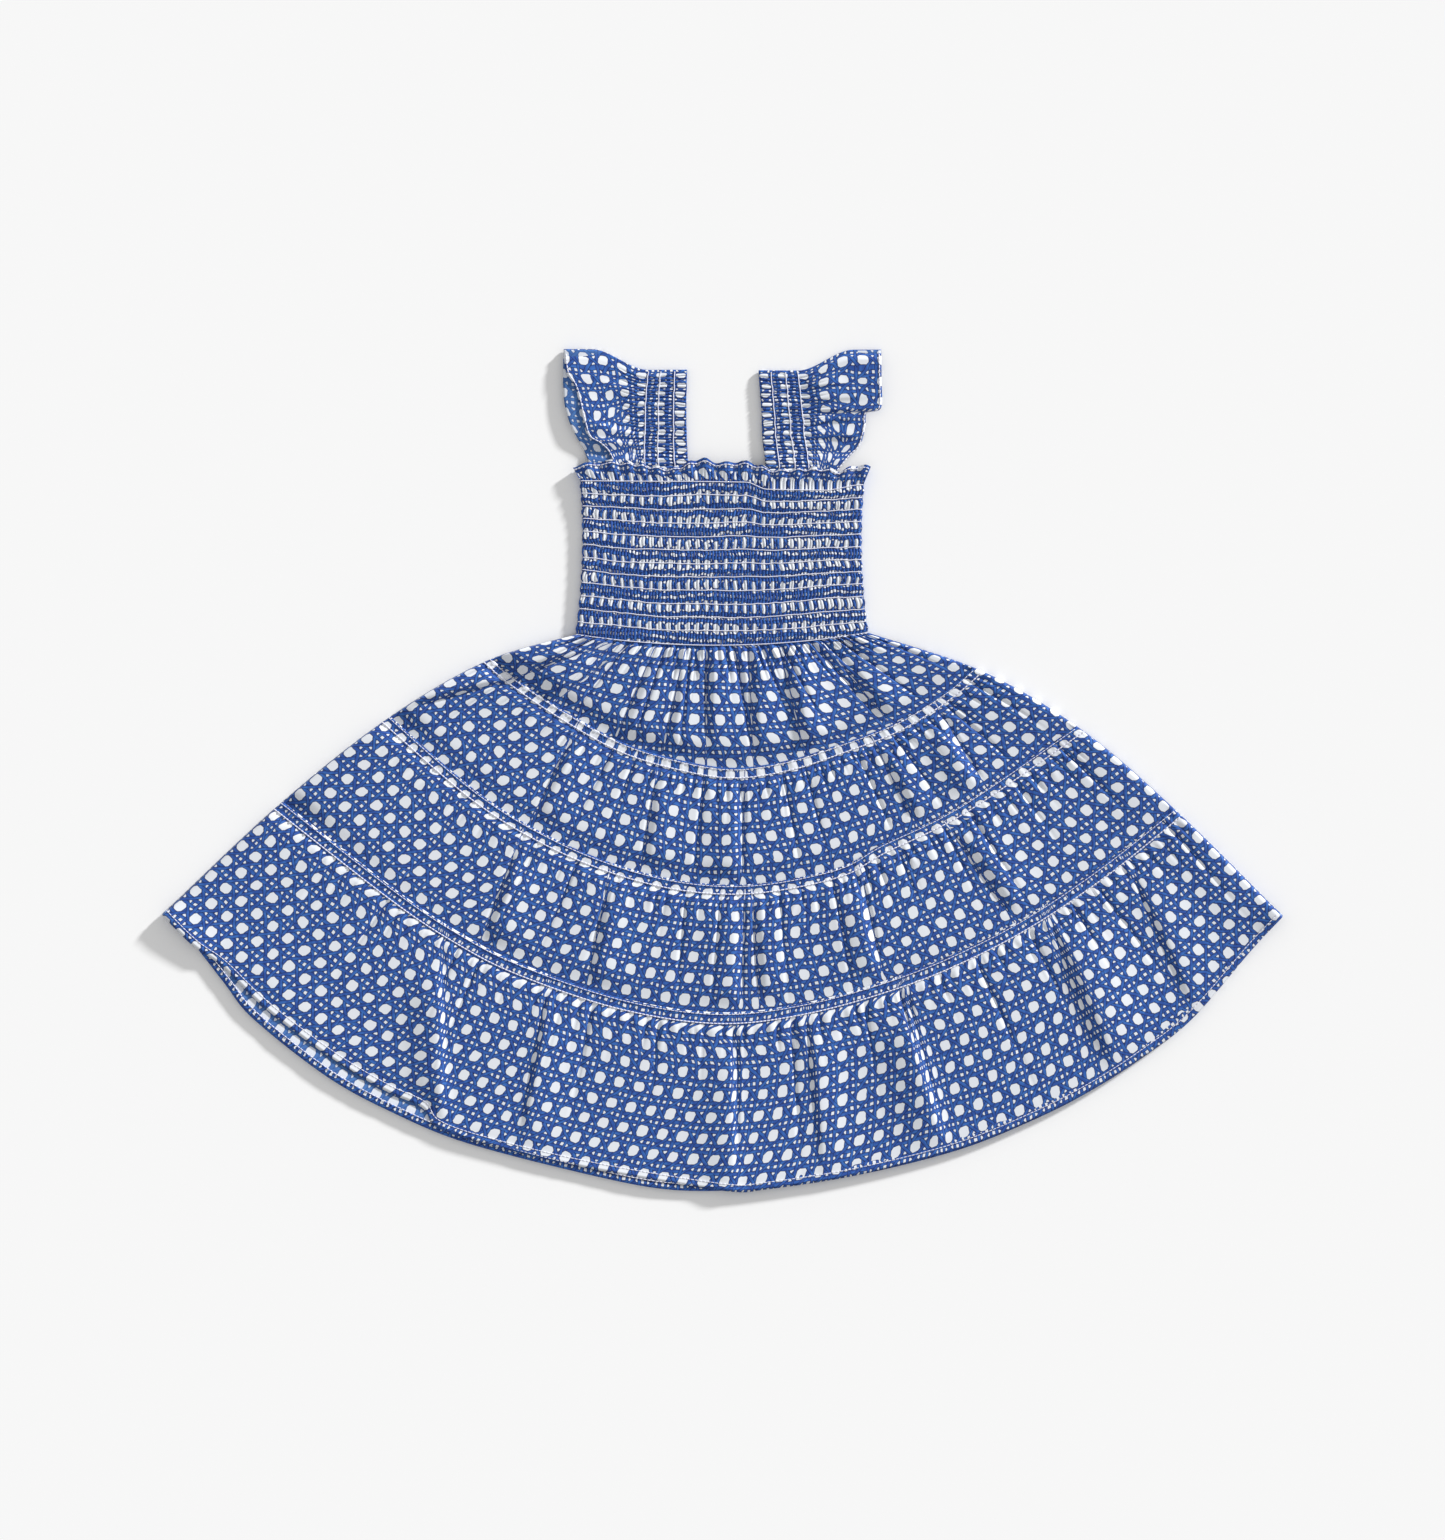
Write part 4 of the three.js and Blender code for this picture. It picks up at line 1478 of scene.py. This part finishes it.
    def build(self, cotton: list[bpy.types.Material]) -> bpy.types.Object:
        """Makes the strap as one folded strip.

        Args:
            cotton: the cloth's materials.

        Returns:
            The piece.
        """
        front, across = self.front()
        points = np.concatenate([front, self.shoulder(front), self.back(across)])
        run, far = run_length(front[:, 0, :2]), run_length(front[:, -1, :2])
        ratio = 1 - smooth_step(across, self.shirred - 0.05, 0.8)
        full = run[-1] * self.fullness
        down_front = full * ratio[None, :] * (1 - run / run[-1])[:, None]
        down_front = down_front + (1 - ratio)[None, :] * (far[-1] - far)[:, None] * 1.08
        up = np.linspace(0, 1, self.front_rows + 1)
        pucker_cloth = self.pucker_share * full / (2 * np.pi * self.puckers)
        down_front += np.sin(2 * np.pi * self.puckers_passed(across, up)) * ratio[None, :] * pucker_cloth
        shift = noise_field(across[None, :] * 5, np.linspace(0, 20, len(run))[:, None], self.seed + 5)
        down_front = down_front + self.drift_down * shift
        # the back run's cloth goes on where the front's ends
        beyond = np.linspace(0, 1, len(points) - len(front))[:, None]
        down = np.concatenate([down_front, down_front[-1] - beyond * down_front[0]])
        turned = -1 if front[0, -1, 0] < 0 else 1
        drift = noise_field(across[None, :] * 4, down / 9, self.seed + 6)
        side = (across[None, :] * self.width + self.print_start + self.drift_across * drift) * turned
        cloth = np.stack([side, down], axis=-1)
        mesh = ClothMesh(self.name)
        if turned > 0:
            points, cloth = points[::-1], cloth[::-1]
        mesh.add_grid(points, cloth)
        piece = mesh.build(cotton, self.thickness)
        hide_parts(self.node)
        return piece

    def thread_lines(self) -> tuple[list[np.ndarray], list[np.ndarray]]:
        """The three elastic rows and the flutter's hem line, on the front.

        Returns:
            The elastic rows, and the hem lines.
        """
        front, across = self.front()
        rows = [front[:, int(np.argmin(np.abs(across - share)))] for share in self.stitch_shares]
        return rows, [front[:, -2]]


def straps() -> list[FlutterStrap]:
    """The two straps as they lie, which differ in how their flutters have fallen.

    Returns:
        The left strap and the right one.
    """
    left = FlutterStrap(
        name="flutter_left",
        node="flutter_strap_left",
        inner=LaidCurve(((-25, 224), (-26, 235), (-27, 258), (-27, 277), (-26.5, 299))),
        outer_front=LaidCurve((
            (-79, 224), (-85, 238), (-92, 245), (-100, 250), (-104, 262), (-110, 286), (-117, 298),
            (-119, 314.4))),
        outer_back=LaidCurve(((-98, 224), (-104, 240), (-114, 259), (-119, 280), (-119, 314.4))),
        step_y=None,
        edge_lift=2.6,
        creases=(
            Fold(0, (-62, 250), (-99, 260), 1.4, 4.5),
            Fold(0, (-60, 243), (-94, 247), 1.7, 3.6),
            Fold(0, (-58, 238), (-88, 234), 1.6, 3.6),
            Fold(0, (-60, 282), (-90, 290), 0.9, 6.0),
        ),
        seed=101,
    )
    right = FlutterStrap(
        name="flutter_right",
        node="flutter_strap_right",
        inner=LaidCurve(((32, 224), (32, 231), (30, 247), (29, 270), (28, 285), (27, 298.5))),
        outer_front=LaidCurve((
            (86, 224), (96, 236), (103, 243), (107, 257), (108, 267), (118.6, 271), (119, 292),
            (118.8, 314))),
        outer_back=LaidCurve(((85, 224), (93, 238), (101, 251), (106, 266), (117, 281), (118.6, 314))),
        step_y=269.0,
        edge_lift=1.4,
        creases=(
            Fold(0, (58, 287), (90, 290), 1.3, 4.0),
            Fold(0, (60, 277), (104, 280), 1.0, 5.0),
            Fold(0, (62, 260), (98, 264), 1.4, 4.0),
            Fold(0, (64, 250), (98, 250), 1.6, 4.0),
            Fold(0, (62, 240), (92, 236), 1.6, 4.0),
        ),
        seed=151,
    )
    return [left, right]


@dataclass
class Sewing:
    """All the thread that shows on the dress, in white.

    Args:
        stitch: length of a stitch.
        gap: space between two stitches.
        radius: radius of the elastic rows and of the stitches at the frill's and the flutters' hems.
        fine_radius: radius of the skirt's thread.
        seam_radius: radius of a seam's lower line.
        seam_gap: space between two of its stitches.
        proud: how far the thread's middle stands above the cloth's crests.
        elastic_bead: distance between two swellings of an elastic row.
    """

    stitch: float = 2.7
    gap: float = 0.35
    radius: float = 0.46
    fine_radius: float = 0.34
    seam_radius: float = 0.56
    seam_gap: float = 0.15
    proud: float = 0.15
    elastic_bead: float = 1.15

    def lifted(self, line: np.ndarray, reach: float) -> np.ndarray:
        """A line of thread that is pulled tight over the cloth's crests.

        Args:
            line: points of X, Y and Z on the cloth.
            reach: how far to each side a crest holds the thread up.

        Returns:
            The thread's middle line.
        """
        steps = np.hypot(*np.diff(line[:, :2], axis=0).T)
        near = max(1, round(reach / float(steps.mean())))
        padded = np.pad(line[:, 2], near, mode="edge")
        crest = np.max([padded[i:i + len(line)] for i in range(2 * near + 1)], axis=0)
        window = np.ones(2 * near + 1) / (2 * near + 1)
        smooth = np.convolve(np.pad(crest, near, mode="edge"), window, "valid")
        return np.stack([line[:, 0], line[:, 1], smooth + self.proud], axis=1)

    def elastic_row(self, mesh: ThreadMesh, line: np.ndarray) -> None:
        """Adds one elastic row: an unbroken thread that swells between its stitches.

        Args:
            mesh: the thread mesh.
            line: the row's points on the cloth.
        """
        line = self.lifted(line, 1.5)
        length = run_length(line[:, :2])
        count = int(length[-1] / self.elastic_bead) * 2
        places = np.linspace(0.4, length[-1] - 0.4, count)
        smooth = np.stack([np.interp(places, length, line[:, i]) for i in range(3)], axis=1)
        radii = self.radius * np.where(np.arange(count) % 2 == 0, 1.0, 0.72)
        mesh.add_tube(smooth, radii)

    def build(self, thread: bpy.types.Material, bodice: Bodice, tiers: list[Tier],
              strap_list: list[FlutterStrap]) -> list[bpy.types.Object]:
        """Sews the dress.

        Args:
            thread: the thread's material.
            bodice: the bodice.
            tiers: the tiers.
            strap_list: the straps.

        Returns:
            The thread pieces.
        """
        shirring = ThreadMesh("shirring_threads")
        rows, frill_hem = bodice.thread_lines()
        for line in rows:
            self.elastic_row(shirring, line)
        hems = ThreadMesh("hem_stitches")
        hems.add_stitches(self.lifted(frill_hem, 0.7), self.stitch, self.gap, self.radius)
        for strap in strap_list:
            elastic, edges = strap.thread_lines()
            for line in elastic:
                self.elastic_row(shirring, line)
            for line in edges:
                hems.add_stitches(self.lifted(line, 0.7), self.stitch, self.gap, self.radius)
        seams = ThreadMesh("seam_stitches")
        for tier in tiers:
            for number, line in enumerate(tier.thread_lines()):
                radius, gap = self.fine_radius, self.gap
                # the seam's lower line is sewn last, through more layers, and stands out most
                if number == 1:
                    radius, gap = self.seam_radius, self.seam_gap
                seams.add_stitches(self.lifted(line, 2.2), self.stitch, gap, radius)
        return [mesh.build(thread) for mesh in (shirring, hems, seams)]


@dataclass
class Studio:
    """The pale floor, the soft light from the upper right and the camera straight above.

    Args:
        lens_mm: the lens's focal length.
        film_mm: height of the film.
        floor_mm: length of the floor's sides.
        floor_colour: the floor's colour.
        key_strength: strength of the key light.
        key_elevation: its height above the floor, in degrees.
        key_azimuth: its direction, in degrees from X towards Y.
        key_softness: how wide it looks from the floor, in degrees.
        sky_strength: strength of the even light.
    """

    lens_mm: float = 85.0
    film_mm: float = 36.0
    floor_mm: float = 6000.0
    floor_colour: str = "#f8f8f8"
    key_strength: float = 4.7
    key_elevation: float = 16.0
    key_azimuth: float = 40.0
    key_softness: float = 5.5
    sky_strength: float = 0.58

    def build(self) -> None:
        """Makes the floor, the lights and the camera."""
        self.make_floor()
        self.make_light()
        self.make_camera()

    def make_floor(self) -> None:
        """Makes the floor, a sheet of matt card, which gives an even pale ground without a sheen."""
        card, _, shader = new_material("matt_card")
        shader.inputs["Base Color"].default_value = linear_colour(self.floor_colour)
        shader.inputs["Roughness"].default_value = 0.95
        shader.inputs["Specular IOR Level"].default_value = 0.0
        half = self.floor_mm / 2
        corners = np.array([(-half, -half, 0), (half, -half, 0), (half, half, 0), (-half, half, 0)])
        new_piece("floor", [corners], [[0, 1, 2, 3]], [card])

    def make_light(self) -> None:
        """Makes the key light and the even light of the room."""
        scene = bpy.context.scene
        scene.view_settings.view_transform = "Standard"
        lamp = bpy.data.lights.new("key", "SUN")
        lamp.energy = self.key_strength
        lamp.angle = math.radians(self.key_softness)
        key = bpy.data.objects.new("key", lamp)
        key.rotation_euler = (0.0, math.radians(90 - self.key_elevation), math.radians(self.key_azimuth))
        scene.collection.objects.link(key)
        world = bpy.data.worlds.new("room")
        world.use_nodes = True
        background = world.node_tree.nodes["Background"]
        background.inputs["Color"].default_value = (1.0, 1.0, 1.0, 1.0)
        background.inputs["Strength"].default_value = self.sky_strength
        scene.world = world

    def make_camera(self) -> None:
        """Makes the camera, whose picture is as high on the floor as the photograph's."""
        lens = bpy.data.cameras.new("camera")
        lens.lens = self.lens_mm
        lens.sensor_fit = "VERTICAL"
        lens.sensor_height = self.film_mm
        lens.sensor_width = self.film_mm
        camera = bpy.data.objects.new("camera", lens)
        camera.location = (0.0, 0.0, self.lens_mm / self.film_mm * PHOTO_HEIGHT_MM * MM)
        bpy.context.scene.collection.objects.link(camera)
        bpy.context.scene.camera = camera


def main() -> None:
    """Builds the studio and the dress, piece by piece."""
    logging.basicConfig(level=logging.INFO)
    Studio().build()
    right_side = CaneCotton(name="printed_cotton_right_side", ground="#dfe3ea", cane="#234795",
                            cane_light="#376ebb", outline="#0e1a44").build()
    wrong_side = CaneCotton(name="printed_cotton_wrong_side", ground="#d6dbe4", cane="#3e66a6",
                            cane_light="#4c7cba", outline="#33528c").build()
    cotton = [right_side, wrong_side]
    thread = SewingThread().build()

    bodice = Bodice()
    plan = SkirtPlan(bodice)
    tiers = [
        Tier(plan, 1, 452.0, 24, 432, 0.25, 40, ruffle_height=0.55, ruffle_reach=22, back_low=1.5,
             back_wave=1.25, back_ruffles=86, back_columns=520, front_low=3.9, tuck_share=1.15),
        Tier(plan, 2, 595.0, 26, 480, 10.25, 60),
        Tier(plan, 3, 778.0, 30, 560, 7.25, 76),
        Tier(plan, 4, 990.0, 34, 640, 3.45, 92),
    ]
    strap_list = straps()
    pieces = [(bodice.build(cotton), "printed_cotton")]
    pieces += [(tier.build(cotton), "printed_cotton") for tier in tiers]
    pieces += [(strap.build(cotton), "printed_cotton") for strap in strap_list]
    pieces += [(piece, "sewing_thread") for piece in Sewing().build(thread, bodice, tiers, strap_list)]
    for piece, slot in pieces:
        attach(piece, "root")
        LOG.info("%s: %d faces", piece.name, len(piece.data.polygons))


if __name__ == "__main__":
    main()
